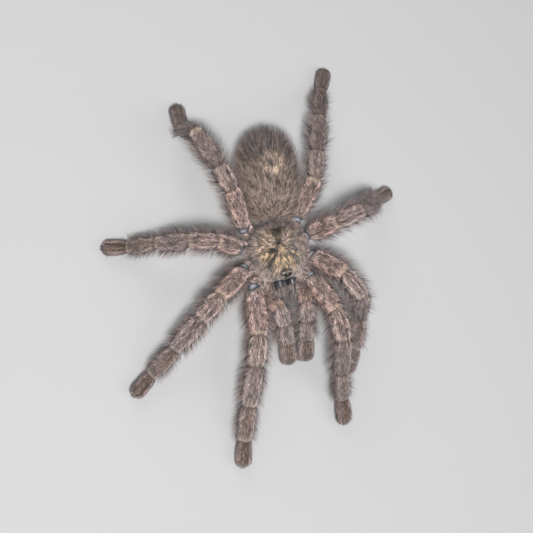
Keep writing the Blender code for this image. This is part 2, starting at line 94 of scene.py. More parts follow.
def blob(x: Array, y: Array, wide: float, long: float) -> Array:
    """Spot of height 1 round x = y = 0: a bell curve across and along it."""
    return bell(np.hypot(x / wide, y / long), 0.0, 1.0)


def ripple(points: Array, wavelength: float, seed: int) -> Array:
    """Smooth unevenness from about -1 to 1: the mean of ten sine waves in random directions.

    Args:
        points: Places, with XYZ along the last axis.
        wavelength: Length of a middling wave.
        seed: Picks the waves.

    Returns:
        The value at each place.
    """
    rng = np.random.default_rng(seed)
    waves = unit(rng.normal(size=(10, 3))) * rng.uniform(0.7, 1.4, (10, 1))
    phases = rng.uniform(0.0, 2.0 * math.pi, 10)
    return np.sin(points @ waves.T * (2.0 * math.pi / wavelength) + phases).mean(axis=-1) * 2.0


def mottle(along: Array, around: Array, seed: int) -> Array:
    """Random value from 0 to 1 on a lattice with unit steps, mixed smoothly in between.

    Args:
        along: Place down the lattice, in its steps.
        around: Place across it.
        seed: Picks the lattice.

    Returns:
        The value at each place.
    """
    table = np.random.default_rng(seed).random((256, 256))
    row, column = np.floor(along).astype(int), np.floor(around).astype(int)
    down, across = ramp(along - row, 0.0, 1.0), ramp(around - column, 0.0, 1.0)

    def corner(row_step: int, column_step: int) -> Array:
        """Lattice value at one corner of each place's cell."""
        return table[(row + row_step) % 256, (column + column_step) % 256]

    upper = corner(0, 0) * (1.0 - across) + corner(0, 1) * across
    lower = corner(1, 0) * (1.0 - across) + corner(1, 1) * across
    return upper * (1.0 - down) + lower * down


def heading_vector(side: float, heading: float, pitch: float) -> Array:
    """Unit vector of a heading outwards from straight ahead and a pitch up from level.

    Args:
        side: 1 on the animal's left, -1 on its right.
        heading: Degrees from straight ahead.
        pitch: Degrees up from level.

    Returns:
        The vector.
    """
    level = math.cos(math.radians(pitch))
    return np.array([side * math.sin(math.radians(heading)) * level,
                     -math.cos(math.radians(heading)) * level,
                     math.sin(math.radians(pitch))])


def angles_round(count: int) -> Array:
    """Evenly spaced angles once round, in radians."""
    return np.arange(count) * 2.0 * math.pi / count


def off_angle(angles: Array, direction: float) -> Array:
    """Degrees between angles, in radians, and a direction, in degrees."""
    return np.abs((np.degrees(angles) - direction + 180.0) % 360.0 - 180.0)


def frame_along(line: Array, level_with: Array | tuple = UP) -> tuple:
    """Unit vectors at each point of a line: along it, across it, and up from it.

    Args:
        line: Points of the line.
        level_with: Direction that the vectors across are square to.

    Returns:
        The three arrays of vectors.
    """
    tangent = unit(np.gradient(line, axis=0))
    level = unit(np.cross(level_with, tangent))
    return tangent, level, np.cross(tangent, level)


def rings(line: Array, frame_there: tuple, across: Array, upward: Array) -> Array:
    """Points round a line, by their ways across it and up from it.

    Args:
        line: Points of the line.
        frame_there: Its vectors, from frame_along.
        across: Ways across, one row for each point of the line.
        upward: Ways up, likewise.

    Returns:
        A grid of points, one row for each point of the line.
    """
    _, level, raised = frame_there
    return (line[:, None, :] + across[..., None] * level[:, None, :]
            + upward[..., None] * raised[:, None, :])


# ---------------------------------------------------------------- colours and materials

def linear(code: str) -> tuple:
    """Linear colour, with alpha 1, of an sRGB hex code such as #a0b1c2."""
    channels = [int(code[place:place + 2], 16) / 255.0 for place in (1, 3, 5)]
    return (*[c / 12.92 if c <= 0.04045 else ((c + 0.055) / 1.055) ** 2.4 for c in channels], 1.0)


def add_node(tree: bpy.types.NodeTree, kind: str, inputs: dict | None = None,
             **settings) -> bpy.types.Node:
    """Add a shader node.

    Args:
        tree: The material's node tree.
        kind: The node's type.
        inputs: Input socket, by name or number, to a value or to the socket it is linked from.
        settings: The node's own properties.

    Returns:
        The node.
    """
    node = tree.nodes.new(kind)
    for name, value in settings.items():
        setattr(node, name, value)
    for name, value in (inputs or {}).items():
        if isinstance(value, Socket):
            tree.links.new(value, node.inputs[name])
        else:
            node.inputs[name].default_value = value
    return node


class Surface:
    """A material in the making: its Principled shader and the nodes that feed it."""

    def __init__(self, name: str, constants: dict) -> None:
        """Start a material with constants on the shader's sockets.

        Args:
            name: The material's name.
            constants: Socket name to value.
        """
        self.material = bpy.data.materials.new(name)
        self.material.use_nodes = True
        self.tree = self.material.node_tree
        self.shader = self.tree.nodes["Principled BSDF"]
        for socket, value in constants.items():
            self.shader.inputs[socket].default_value = value

    def feed(self, socket: str, source: Socket) -> None:
        """Link a value to one of the shader's sockets."""
        self.tree.links.new(source, self.shader.inputs[socket])

    def attribute(self, name: str) -> Socket:
        """Value of a mesh attribute."""
        return add_node(self.tree, "ShaderNodeAttribute", attribute_name=name).outputs["Fac"]

    def spread(self, value: Socket, low: float, high: float) -> Socket:
        """Value that runs from low to high while the given one runs from 0 to 1."""
        return add_node(self.tree, "ShaderNodeMapRange", {0: value, 3: low, 4: high}).outputs[0]

    def times(self, first: Socket, second: Socket | float) -> Socket:
        """Product of two values."""
        return add_node(self.tree, "ShaderNodeMath", {0: first, 1: second},
                        operation="MULTIPLY").outputs[0]

    def lit(self, colour: Socket, light: Socket) -> Socket:
        """Colour times a brightness."""
        return add_node(self.tree, "ShaderNodeVectorMath", {0: colour, 3: light},
                        operation="SCALE").outputs[0]

    def covered(self, share: Socket, under: Socket | tuple, over: Socket | tuple) -> Socket:
        """Colour that another covers by a share."""
        return add_node(self.tree, "ShaderNodeMix", {0: share, 6: under, 7: over},
                        data_type="RGBA").outputs[2]

    def pattern(self, kind: str, spacing: float, detail: dict | None = None) -> bpy.types.Node:
        """Texture over the object's own coordinates, with a spacing in millimetres.

        Args:
            kind: The texture node's type.
            spacing: Size of its pattern, millimetres.
            detail: Its other inputs.

        Returns:
            The node.
        """
        place = add_node(self.tree, "ShaderNodeTexCoord").outputs["Object"]
        return add_node(self.tree, kind, {"Vector": place, "Scale": 1.0 / (spacing * MM),
                                          **(detail or {})})

    def bump(self, strength: Socket | float, depth: float, height: Socket) -> None:
        """Bump of a depth in millimetres.

        Args:
            strength: How much of the bump shows, from 0 to 1.
            depth: Millimetres.
            height: Value that the bump follows.
        """
        node = add_node(self.tree, "ShaderNodeBump", {"Strength": strength,
                                                      "Distance": depth * MM, "Height": height})
        self.feed("Normal", node.outputs[0])


class Mark(Enum):
    """What a place on the hide shows. Each is an attribute that holds a share from 0 to 1."""

    OLIVE = "olive"     # ground colour of the carapace and of the abdomen's patch
    UMBER = "umber"     # ground colour of the abdomen
    WARM = "warm"       # foxy brown of the feet and of the abdomen's rear
    GOLD = "gold"       # strokes of the carapace, rings at the joints, tinge of the patch
    PALE = "pale"       # pinkish bands, margins and rims
    DARK = "dark"       # furrows, lines and painted shade
    BARE = "bare"       # cuticle with no hair


@dataclass(frozen=True)
class Markings:
    """Colours of the marks, shared by the skin and the coat."""

    ground: str = "#937b77"
    olive: str = "#8d7a61"
    umber: str = "#836e5c"
    warm: str = "#8a5a3c"
    gold: str = "#d4b88c"
    pale: str = "#e8d2cc"
    # Dark paints real lines and also painted shade.
    dark: str = "#1c1516"

    def colour(self, surface: Surface) -> Socket:
        """Marked colour: each mark covers what is under it by its share.

        Args:
            surface: The material that shows the marks.

        Returns:
            The colour.
        """
        result: Socket | tuple = linear(self.ground)
        for mark in Mark:
            if mark is not Mark.BARE:
                result = surface.covered(surface.attribute(mark.value), result,
                                         linear(getattr(self, mark.value)))
        return result


@dataclass(frozen=True)
class SetaFinish:
    """Chitin setae: dull, slightly translucent looking hairs with lighter tips.

    Dark roots are painted shade in the depth of the coat; pale ends are partly the setae's
    own pale tips and partly painted highlight where they catch the light.
    """

    name: str
    painted_root_shade: float       # brightness at the root, as a share of the marked colour: painted shade
    painted_tip_light: float        # brightness at the tip: painted highlight
    tip_colour: str
    tip_share: float        # how far the tip takes its pale colour, partly its own and partly painted highlight
    spread: float           # brightness range from strand to strand
    roughness: float = 0.48

    def make(self) -> Material:
        """Marked colour, times a ramp from painted shade at the root to painted highlight at
        the tip, times the strand's own shade.

        Returns:
            The material.
        """
        surface = Surface(self.name, {"Roughness": self.roughness, "Specular IOR Level": 0.45,
                                      "Sheen Weight": 0.25, "Sheen Roughness": 0.4})
        tip = surface.attribute("tip")
        # Painted shade at the root and painted highlight at the tip.
        light = surface.spread(tip, self.painted_root_shade, self.painted_tip_light)
        own = surface.spread(surface.attribute("shade"), 1.0 - self.spread, 1.0 + self.spread)
        lit = surface.lit(Markings().colour(surface), surface.times(light, own))
        # Pale tips: partly the setae's own colour, partly painted highlight.
        pale_tip_and_highlight = surface.times(tip, surface.times(own, self.tip_share))
        surface.feed("Base Color", surface.covered(pale_tip_and_highlight, lit, linear(self.tip_colour)))
        return surface.material


@dataclass(frozen=True)
class CuticleFinish:
    """Cuticle under the coat: matt and pitted by hair sockets, glossy where it is bare.

    The eye sees it as the dark between the hairs, which is painted shade, and as wet
    blue-grey knobs at the hips, rounded by painted shade round a painted highlight.
    """

    name: str = "tarantula_cuticle"
    painted_shade_under_hair: float = 0.42       # brightness under the hair: painted shade
    # The pale bare colour is the knobs' own blue-grey and, left at their middles, a painted
    # highlight; the dark one is the jaw bases' and the outlines' own dark, and painted shade over
    # the rest of each knob.
    bare: str = "#989ca6"
    bare_dark_and_shade: str = "#14161d"
    cloud_spacing: float = 1.3      # millimetres between lighter and darker places
    socket_spacing: float = 0.16    # millimetres between hair sockets
    socket_share: float = 0.35      # depth of the sockets, as a share of the folds'
    fold_spacing: float = 0.9       # millimetres between fine folds of the cuticle
    fold_depth: float = 0.08        # millimetres
    haired_roughness: float = 0.62
    bare_roughness: float = 0.28

    def make(self) -> Material:
        """Marked colour darkened by painted shade under the hair, with sockets and folds as bump.

        Returns:
            The material.
        """
        surface = Surface(self.name, {})
        cloud = surface.pattern("ShaderNodeTexNoise", self.cloud_spacing, {"Detail": 3.0})
        shade = add_node(surface.tree, "ShaderNodeMapRange",
                         {0: cloud.outputs[0], 1: 0.3, 2: 0.7, 3: self.painted_shade_under_hair * 0.75,
                          4: self.painted_shade_under_hair * 1.2})
        # The marked colour, darkened unevenly as painted shade under the hair.
        deep = surface.lit(Markings().colour(surface), shade.outputs[0])
        bare = surface.attribute(Mark.BARE.value)
        # The dark mark turns bare cuticle from pale to dark: on a knob, painted shade round a
        # painted highlight.
        knob = surface.covered(surface.attribute(Mark.DARK.value), linear(self.bare),
                               linear(self.bare_dark_and_shade))
        surface.feed("Base Color", surface.covered(bare, deep, knob))
        surface.feed("Roughness",
                     surface.spread(bare, self.haired_roughness, self.bare_roughness))
        sockets = surface.pattern("ShaderNodeTexVoronoi", self.socket_spacing)
        folds = surface.pattern("ShaderNodeTexNoise", self.fold_spacing, {"Detail": 4.0})
        height = add_node(surface.tree, "ShaderNodeMath",
                          {0: sockets.outputs["Distance"], 1: self.socket_share,
                           2: folds.outputs[0]}, operation="MULTIPLY_ADD")
        surface.bump(surface.spread(bare, 0.6, 0.35), self.fold_depth, height.outputs[0])
        return surface.material


@dataclass(frozen=True)
class HornFinish:
    """Polished chitin of eyes, fangs, claws and the eye hump.

    The eye sees a deep colour under a clear wet gloss, with a little unevenness.
    """

    name: str
    colour: str
    cloud: str              # colour that the noise mixes in
    roughness: float
    grain: float            # millimetres
    gloss: float = 0.0      # weight of the clear coat

    def make(self) -> Material:
        """Two colours mixed by noise of the grain's size, with a faint bump.

        Returns:
            The material.
        """
        surface = Surface(self.name, {"Roughness": self.roughness, "Coat Weight": self.gloss,
                                      "Coat Roughness": 0.04})
        grain = surface.pattern("ShaderNodeTexNoise", self.grain, {"Detail": 2.0}).outputs[0]
        surface.feed("Base Color", surface.covered(grain, linear(self.colour),
                                                   linear(self.cloud)))
        surface.bump(0.1, 0.02, grain)
        return surface.material


@dataclass(frozen=True)
class PaperFinish:
    """Matt studio paper: an even pale ground with a barely visible tooth."""

    name: str = "studio_paper"
    colour: str = "#a9aaab"
    tooth: float = 0.8      # millimetres

    def make(self) -> Material:
        """One colour, rough, with a fine bump.

        Returns:
            The material.
        """
        surface = Surface(self.name, {"Base Color": linear(self.colour), "Roughness": 0.9})
        grain = surface.pattern("ShaderNodeTexNoise", self.tooth, {"Detail": 2.0})
        surface.bump(0.05, 0.05, grain.outputs[0])
        return surface.material


# ---------------------------------------------------------------- meshes from arrays

class Workshop:
    """Makes meshes from arrays of places in the body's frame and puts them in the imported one."""

    def __init__(self) -> None:
        """Find the body's origin from the carapace, whose front edge lies at a known Y."""
        low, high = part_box("carapace")
        self.origin = np.array([(low.x + high.x) / 2.0, low.y - Carapace.front_y * MM, 0.0])

    def place(self, points: Array) -> Array:
        """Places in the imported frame, in metres."""
        return points * MM + self.origin

    def mesh(self, name: str, points: Array, faces: list, material: Material, slot: str,
             uv: Array | None = None, attributes: dict | None = None) -> bpy.types.Object:
        """Make a piece that rides on the body.

        Args:
            name: The piece's name.
            points: Corners in the body's frame.
            faces: Arrays of corner numbers, one row a face, each array of one face size.
            material: Its finish.
            slot: Not used.
            uv: Place on the bake map for each face corner, in the order of the faces.
            attributes: Attribute name to one value for each corner point.

        Returns:
            The object.
        """
        mesh = bpy.data.meshes.new(name)
        corners = np.concatenate([part.ravel() for part in faces]).astype(np.int32)
        sizes = np.concatenate([np.full(len(part), part.shape[1]) for part in faces])
        mesh.vertices.add(len(points))
        mesh.vertices.foreach_set("co", self.place(points).astype(np.float32).ravel())
        mesh.loops.add(len(corners))
        mesh.loops.foreach_set("vertex_index", corners)
        mesh.polygons.add(len(sizes))
        starts = np.concatenate([[0], np.cumsum(sizes)[:-1]]).astype(np.int32)
        mesh.polygons.foreach_set("loop_start", starts)
        if uv is not None:
            layer = mesh.uv_layers.new(name="OFBake")
            layer.uv.foreach_set("vector", uv.astype(np.float32).ravel())
        for label, values in (attributes or {}).items():
            attribute = mesh.attributes.new(label, "FLOAT", "POINT")
            attribute.data.foreach_set("value", values.astype(np.float32).ravel())
        mesh.update(calc_edges=True)
        mesh.validate()
        mesh.shade_smooth()
        mesh.materials.append(material)
        piece = bpy.data.objects.new(name, mesh)
        bpy.context.scene.collection.objects.link(piece)
        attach(piece, "root")
        LOG.info("%s: %d triangles", name, int((sizes - 2).sum()))
        return piece

    def wrap(self, name: str, hides: list, material: Material, slot: str, replaces: list,
             attributes: dict | None = None) -> None:
        """Close stretches of hide into one piece that stands for the given CAD nodes.

        Args:
            name: The piece's name.
            hides: The stretches of hide.
            material: Its finish.
            slot: The record's material slot.
            replaces: Names of the nodes, or none.
            attributes: Attribute name to one value for each corner.
        """
        corners = [hide.corners() for hide in hides]
        firsts = np.cumsum([0] + [len(part) for part in corners[:-1]])
        parts = zip(*[hide.faces(first) for hide, first in zip(hides, firsts)])
        quads, fans, quad_uv, fan_uv = (np.concatenate(part) for part in parts)
        uv = np.concatenate([quad_uv.reshape(-1, 2), fan_uv.reshape(-1, 2)])
        piece = self.mesh(name, np.vstack(corners), [quads, fans], material, slot, uv, attributes)
        if replaces:
            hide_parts(*replaces)


@dataclass(frozen=True)
class Plot:
    """A stretch of hide's rectangle on the unwrap: rows run along U, columns along V."""

    left: float
    bottom: float
    width: float
    height: float

    def lay(self, rows: Array, columns: Array) -> Array:
        """Places on the map for shares 0 to 1 of the rows and of the way round."""
        return np.stack(np.broadcast_arrays(self.left + self.width * rows,
                                            self.bottom + self.height * columns), axis=-1)


@dataclass(frozen=True)
class Strand:
    """One kind of hair: how many there are, their size, and how they stand."""

    name: str
    pieces: int             # meshes that the hairs are shared out over
    count: int
    length: tuple           # shortest and longest, millimetres
    width: float            # across the root, millimetres, drawn wide enough to show
    lift: tuple             # least and greatest angle from the hide
    bends: int              # joints between root and tip
    lean: float             # how far the tip is carried along the lie, in lengths
    stray: float            # sideways spread of the lie, degrees
    lock: tuple             # length and width of a lock, millimetres
    gather: float           # how far a lock's tips close up on its middle, from 0 to 1
    finish: SetaFinish


DOWN = Strand("down", 5, 212000, (1.0, 1.7), 0.17, (7.0, 26.0), 0, 0.0, 8.0, (1.7, 0.62), 0.8,
              SetaFinish("short_setae", 0.05, 1.85, "#ead6cc", 0.2, 0.95))
BRUSH = Strand("brush", 1, 40000, (0.8, 1.3), 0.14, (30.0, 60.0), 0, 0.0, 10.0, (1.2, 0.6), 0.4,
               SetaFinish("foot_brush_setae", 0.3, 1.0, "#968c92", 0.45, 0.5))
GUARD = Strand("guard", 2, 26000, (1.7, 2.9), 0.17, (24.0, 46.0), 1, 0.3, 9.0, (1.5, 0.7), 0.7,
               SetaFinish("guard_setae", 0.05, 1.3, "#e6d2cc", 0.4, 0.95))
FRINGE = Strand("fringe", 1, 13000, (3.2, 5.4), 0.16, (44.0, 72.0), 1, 0.3, 5.0, (1.0, 1.1), 0.85,
                SetaFinish("long_setae", 0.06, 0.8, "#b7a29c", 0.6, 0.9))
STRANDS = (DOWN, BRUSH, GUARD, FRINGE)


@dataclass
class Hide:
    """A closed stretch of hide as a grid of points.

    Rows follow the lie of the hair and columns go once round. cover gives each kind of
    hair its density, and reach its length, as shares of the kind's own.
    """

    points: Array
    plot: Plot
    marks: dict = field(default_factory=dict)
    cover: dict = field(default_factory=dict)
    reach: dict = field(default_factory=dict)
    fine: float = 1.0                   # size of the locks of hair, as a share of the kind's own
    core: Array | None = None           # a point inside, where the rows' middles aren't
    lie: Array | None = None            # lie of the hair, if it isn't along the rows

    def __post_init__(self) -> None:
        """Work out outward normals, the lie of the hair and the marks that are absent."""
        rows, columns, _ = self.points.shape
        along = np.gradient(self.points, axis=0)
        around = np.roll(self.points, -1, axis=1) - np.roll(self.points, 1, axis=1)
        normals = unit(np.cross(around, along))
        middle = self.points.mean(axis=1, keepdims=True) if self.core is None else self.core
        self.outward = float(np.sign((normals * (self.points - middle)).sum(axis=-1).mean()))
        self.normals = normals * self.outward
        lie = along if self.lie is None else self.lie
        self.lie = unit(lie - self.normals * (lie * self.normals).sum(axis=-1, keepdims=True))
        sideways = (around * np.cross(self.normals, self.lie)).sum(axis=-1).mean()
        self.handed = float(np.sign(sideways))
        self.travel = np.concatenate([[0.0], np.cumsum(np.linalg.norm(
            np.diff(self.points, axis=0), axis=-1).mean(axis=1))])
        self.round = np.linalg.norm(around, axis=-1).sum(axis=1).mean() / 2.0
        self.marks = {mark: np.broadcast_to(self.marks.get(mark, 0.0), (rows, columns))
                      for mark in Mark}

    def faces(self, first: int) -> tuple:
        """Outward quads of the grid, fans over both ends, and their places on the map.

        Args:
            first: Number of the hide's first corner in its piece.

        Returns:
            Quads, fans, and the places of both on the map.
        """
        rows, columns, _ = self.points.shape
        row, column = np.arange(rows - 1)[:, None], np.arange(columns)[None, :]
        across, down = 1.0 / columns, 1.0 / (rows - 1)
        square = ((0, 0), (0, 1), (1, 1), (1, 0))
        quads = np.stack([(row + i) * columns + (column + j) % columns for i, j in square],
                         axis=-1).reshape(-1, 4)
        quad_uv = np.stack([self.plot.lay((row + i) * down, (column + j) * across)
                            for i, j in square], axis=2).reshape(-1, 4, 2)
        step = np.arange(columns)
        fans, fan_uv = [], []
        for pole, start, share, beyond, pair in (
                (rows * columns, 0, 0.0, -0.01, (1, 0)),
                (rows * columns + 1, (rows - 1) * columns, 1.0, 1.01, (0, 1))):
            fans.append(np.stack([np.full(columns, pole),
                                  *[start + (step + j) % columns for j in pair]], axis=1))
            fan_uv.append(np.stack([self.plot.lay(beyond, (step + 0.5) * across),
                                    *[self.plot.lay(share, (step + j) * across) for j in pair]],
                                   axis=1))
        fans, fan_uv = np.concatenate(fans), np.concatenate(fan_uv)
        if self.outward < 0.0:
            quads, quad_uv = quads[:, ::-1], quad_uv[:, ::-1]
            fans, fan_uv = fans[:, ::-1], fan_uv[:, ::-1]
        return quads + first, fans + first, quad_uv, fan_uv

    def corners(self) -> Array:
        """Grid points, then the middle of the first and of the last row."""
        return np.vstack([self.points.reshape(-1, 3), self.points[0].mean(axis=0),
                          self.points[-1].mean(axis=0)])

    def mark_values(self, mark: Mark) -> Array:
        """A mark's value at each corner."""
        values = self.marks[mark]
        return np.concatenate([values.ravel(), [values[0].mean(), values[-1].mean()]])

    def cell_weights(self, strand: Strand) -> Array:
        """Area of each cell times the strand's density there.

        Args:
            strand: The kind of hair.

        Returns:
            The weights, as rows and columns of cells.
        """
        right = np.roll(self.points, -1, axis=1)
        diagonal = right[1:] - self.points[:-1]
        other = self.points[1:] - right[:-1]
        area = np.linalg.norm(np.cross(diagonal, other), axis=-1) / 2.0
        rows, columns, _ = self.points.shape
        density = np.broadcast_to(self.cover.get(strand, 0.0), (rows, columns))
        return area * (density[:-1] + density[1:]) / 2.0

    def scatter(self, strand: Strand, count: int, rng: np.random.Generator) -> dict:
        """Roots of hairs, spread at random by the strand's density.

        Args:
            strand: The kind of hair.
            count: How many roots.
            rng: Source of random numbers.

        Returns:
            Arrays of root, normal, lie, uv, reach, distance along and round the hide,
            handedness and each mark, one row a hair. Each is mixed from the four corners
            of the hair's cell.
        """
        rows, columns, _ = self.points.shape
        total = np.cumsum(self.cell_weights(strand).ravel())
        spread = (np.arange(count) + rng.random(count)) / count * total[-1]
        cell = np.minimum(np.searchsorted(total, spread), len(total) - 1)
        row, column = np.divmod(cell, columns)
        down, across = rng.random((2, count))
        beside = (column + 1) % columns

        def mix(grid: Array) -> Array:
            """Value of a grid at the roots.

            Args:
                grid: Values at the hide's points.

            Returns:
                One value for each root.
            """
            s, t = (down, across) if grid.ndim == 2 else (down[:, None], across[:, None])
            upper = grid[row, column] * (1.0 - t) + grid[row, beside] * t
            lower = grid[row + 1, column] * (1.0 - t) + grid[row + 1, beside] * t
            return upper * (1.0 - s) + lower * s

        reach = np.broadcast_to(self.reach.get(strand, 1.0), (rows, columns))
        travel = self.travel[row] * (1.0 - down) + self.travel[row + 1] * down
        roots = {"root": mix(self.points), "normal": unit(mix(self.normals)),
                 "lie": unit(mix(self.lie)), "reach": mix(reach),
                 "travel": travel / self.fine + 640.0 * self.plot.bottom + 90.0 * self.plot.left,
                 "around": (column + across) / columns * self.round / self.fine,
                 "handed": np.full(count, self.handed),
                 "uv": self.plot.lay((row + down) / (rows - 1), (column + across) / columns)}
        roots.update({mark.value: mix(self.marks[mark]) for mark in Mark})
        return roots


# ---------------------------------------------------------------- limbs

class Part(Enum):
    """Segments of a limb, from the body outwards."""

    COXA = 0
    FEMUR = 1
    PATELLA = 2
    TIBIA = 3
    METATARSUS = 4
    TARSUS = 5


def by_part(code: Array, *shares: float) -> Array:
    """Each place's share: the shares are listed by segment, from coxa to tarsus."""
    return np.array(shares)[code]


@dataclass(frozen=True)
class Swell:
    """Half width of one limb segment: at its start, at its end, and added midway."""

    start: float
    end: float
    middle: float
    tallness: float = 1.0

    def half_width(self, station: Array) -> Array:
        """Half width at stations from 0 to 1: a straight taper plus half a sine wave."""
        return self.start + (self.end - self.start) * station + self.middle * np.sin(
            math.pi * station)


LEG_SWELLS = {
    Part.COXA: Swell(1.85, 3.05, 0.3),
    Part.FEMUR: Swell(3.0, 3.25, 0.75, 1.08),
    Part.PATELLA: Swell(3.25, 3.25, 0.45),
    Part.TIBIA: Swell(3.25, 2.95, 0.5),
    Part.METATARSUS: Swell(2.6, 2.5, 0.95, 0.94),
    Part.TARSUS: Swell(2.55, 2.8, 0.45, 0.95),
}
PALP_SWELLS = {
    Part.COXA: Swell(1.25, 1.7, 0.0),
    Part.FEMUR: Swell(1.7, 2.35, 0.1, 1.05),
    Part.PATELLA: Swell(2.4, 2.8, 0.3),
    Part.TIBIA: Swell(2.8, 2.75, 0.3),
    Part.TARSUS: Swell(2.7, 2.85, 0.4, 0.86),
}


@dataclass
class Limb:
    """A leg or a palp: its axis, from the inner end of the coxa to the toe, and its hide."""

    name: str
    side: float                 # 1 on the animal's left, -1 on its right
    coxa: tuple                 # inner end of the coxa, on the left side
    hip: tuple                  # start of the femur, on the left side
    lengths: tuple
    headings: tuple
    pitches: tuple              # of the first segments; the rest reach the heights
    heights: tuple
    stoutness: float
    swells: dict
    plot: Plot
    knob_turn: float = 0.0      # how far the knob lies off the top, outwards, degrees
    columns: int = 36
    step: float = 0.5           # between rows of the hide
    skin_share: float = 0.87    # the skin's girth as a share of the coat's
    pinch: float = 0.14         # how much a joint is drawn in
    fine: float = 0.7           # size of a lock, as a share of the strand's
    painted_shade: float = 0.0           # how much the shin and the foot darken: painted shade, deepest on the hind legs
    knob_size: float = 1.0      # as a share of a leg's
    wide_flank: float = 0.1     # how much longer the short hair of the flanks is
    toe_length: float = 2.6     # of the rounded toe
    splay: float = 0.42         # how far the hair beyond the femur leans down
    floor_gap: float = 0.05     # least height of the skin

    def axis(self) -> list:
        """Points of the axis: by heading and pitch, then by the fall to each height.

        Returns:
            The points: one more than there are segments.
        """
        mirror = np.array([self.side, 1.0, 1.0])
        path = [np.array(self.coxa) * mirror, np.array(self.hip) * mirror]
        for index, (length, heading) in enumerate(zip(self.lengths, self.headings)):
            if index < len(self.pitches):
                pitch = self.pitches[index]
            else:
                climb = self.heights[index - len(self.pitches)] - path[-1][2]
                pitch = math.degrees(math.asin(climb / length))
            path.append(path[-1] + heading_vector(self.side, heading, pitch) * length)
        return path

    def smooth(self, values: Array, reach: float) -> Array:
        """Running mean over reach on either side, with the end values carried on.

        Args:
            values: One row for each row of the hide.
            reach: Millimetres.

        Returns:
            The smoothed values.
        """
        half = max(1, round(reach / self.step))
        kernel = np.full(2 * half + 1, 1.0 / (2 * half + 1))
        padded = np.pad(values, ((half, half), (0, 0)), mode="edge")
        columns = [np.convolve(padded[:, place], kernel, mode="valid")
                   for place in range(values.shape[1])]
        return np.stack(columns, axis=1)

    def hide(self) -> Hide:
        """The limb's hide: ellipses carried along its rounded axis.

        Each ellipse's half width is the segment's swell, drawn in by a bell curve at
        each joint and by a quarter circle at the toe and at the inner end.

        Returns:
            The hide, marked and dressed.
        """
        path = self.axis()
        count = len(self.swells)
        rows_of = [max(6, round(float(np.linalg.norm(path[n + 1] - path[n])) / self.step))
                   for n in range(count)]
        stations = [np.arange(rows) / rows for rows in rows_of]
        line = np.vstack([path[n] + np.outer(stations[n], path[n + 1] - path[n])
                          for n in range(count)])
        code = np.repeat([part.value for part in self.swells], rows_of)
        station = np.concatenate(stations)[:, None]
        wide = np.concatenate([swell.half_width(stations[n])
                               for n, swell in enumerate(self.swells.values())])
        tall = wide * np.repeat([swell.tallness for swell in self.swells.values()], rows_of)
        line = self.smooth(line, 1.5)
        girth = self.smooth(np.stack([wide, tall], axis=1), 0.8)
        girth *= self.stoutness * self.skin_share
        frame_there = frame_along(line)

        travel = np.concatenate([[0.0], np.cumsum(np.linalg.norm(np.diff(line, axis=0), axis=1))])
        joints = travel[np.cumsum(rows_of)[:-1]]
        ahead = joints[None, :] - travel[:, None]
        nearest = np.abs(ahead).min(axis=1)
        to_joint = np.where(ahead > 0.0, ahead, 99.0).min(axis=1)
        inner_end = np.sqrt(1.0 - (1.0 - np.clip(travel / 1.6, 0.02, 1.0)) ** 2)
        toe_share = (travel[-1] - travel) / (self.toe_length * self.stoutness)
        outer_end = np.sqrt(1.0 - (1.0 - np.clip(toe_share, 0.01, 1.0)) ** 2.6)
        girth *= ((1.0 - self.pinch * bell(nearest, 0.0, 0.75)) * inner_end * outer_end)[:, None]

        angle = angles_round(self.columns)
        outer = float(np.sign(frame_there[1][rows_of[0], 0] * self.side))
        off_top = off_angle(angle, 90.0)[None, :]
        off_knob = off_angle(angle, 90.0 - outer * self.knob_turn)[None, :]
        knob = self.knob_distance(travel[:, None] - joints[0], off_knob, girth[:, :1])
        bulge = 1.0 + 0.16 * bell(knob, 0.0, 1.2)
        flat_top = 1.0 - 0.06 * bell(off_top, 0.0, 40.0)
        points = rings(line, frame_there, np.cos(angle) * bulge * girth[:, :1],
                       np.sin(angle) * bulge * flat_top * girth[:, 1:])
        points[..., 2] = np.maximum(points[..., 2], self.floor_gap)
        grain = ripple(points, 2.2, 11)
        code, nearest, to_joint = code[:, None], nearest[:, None], to_joint[:, None]
        marks = self.marks(code, station, off_top, nearest, to_joint, knob, grain)
        splay = self.splay * (code >= Part.PATELLA.value) * UP
        hide = Hide(points, self.plot, marks, fine=self.fine,
                    lie=(frame_there[0] - splay)[:, None, :])
        self.dress(hide, code, station, off_top, to_joint, knob)
        return hide

    def knob_distance(self, ahead: Array, off_knob: Array, girth: Array) -> Array:
        """Distance over the hide from the bare knob of the hip, in its half lengths.

        The knob is a crescent: its middle moves towards the body with the square of the
        way to its horns.

        Args:
            ahead: Distance past the hip, along the limb.
            off_knob: Angle from the knob's middle.
            girth: The limb's half width.

        Returns:
            The distance over the grid.
        """
        around = np.radians(off_knob) * girth
        bent = ahead - 0.35 + 0.4 * (around / 1.6) ** 2
        return np.hypot(bent / (1.1 * self.knob_size), around / (2.0 * self.knob_size))

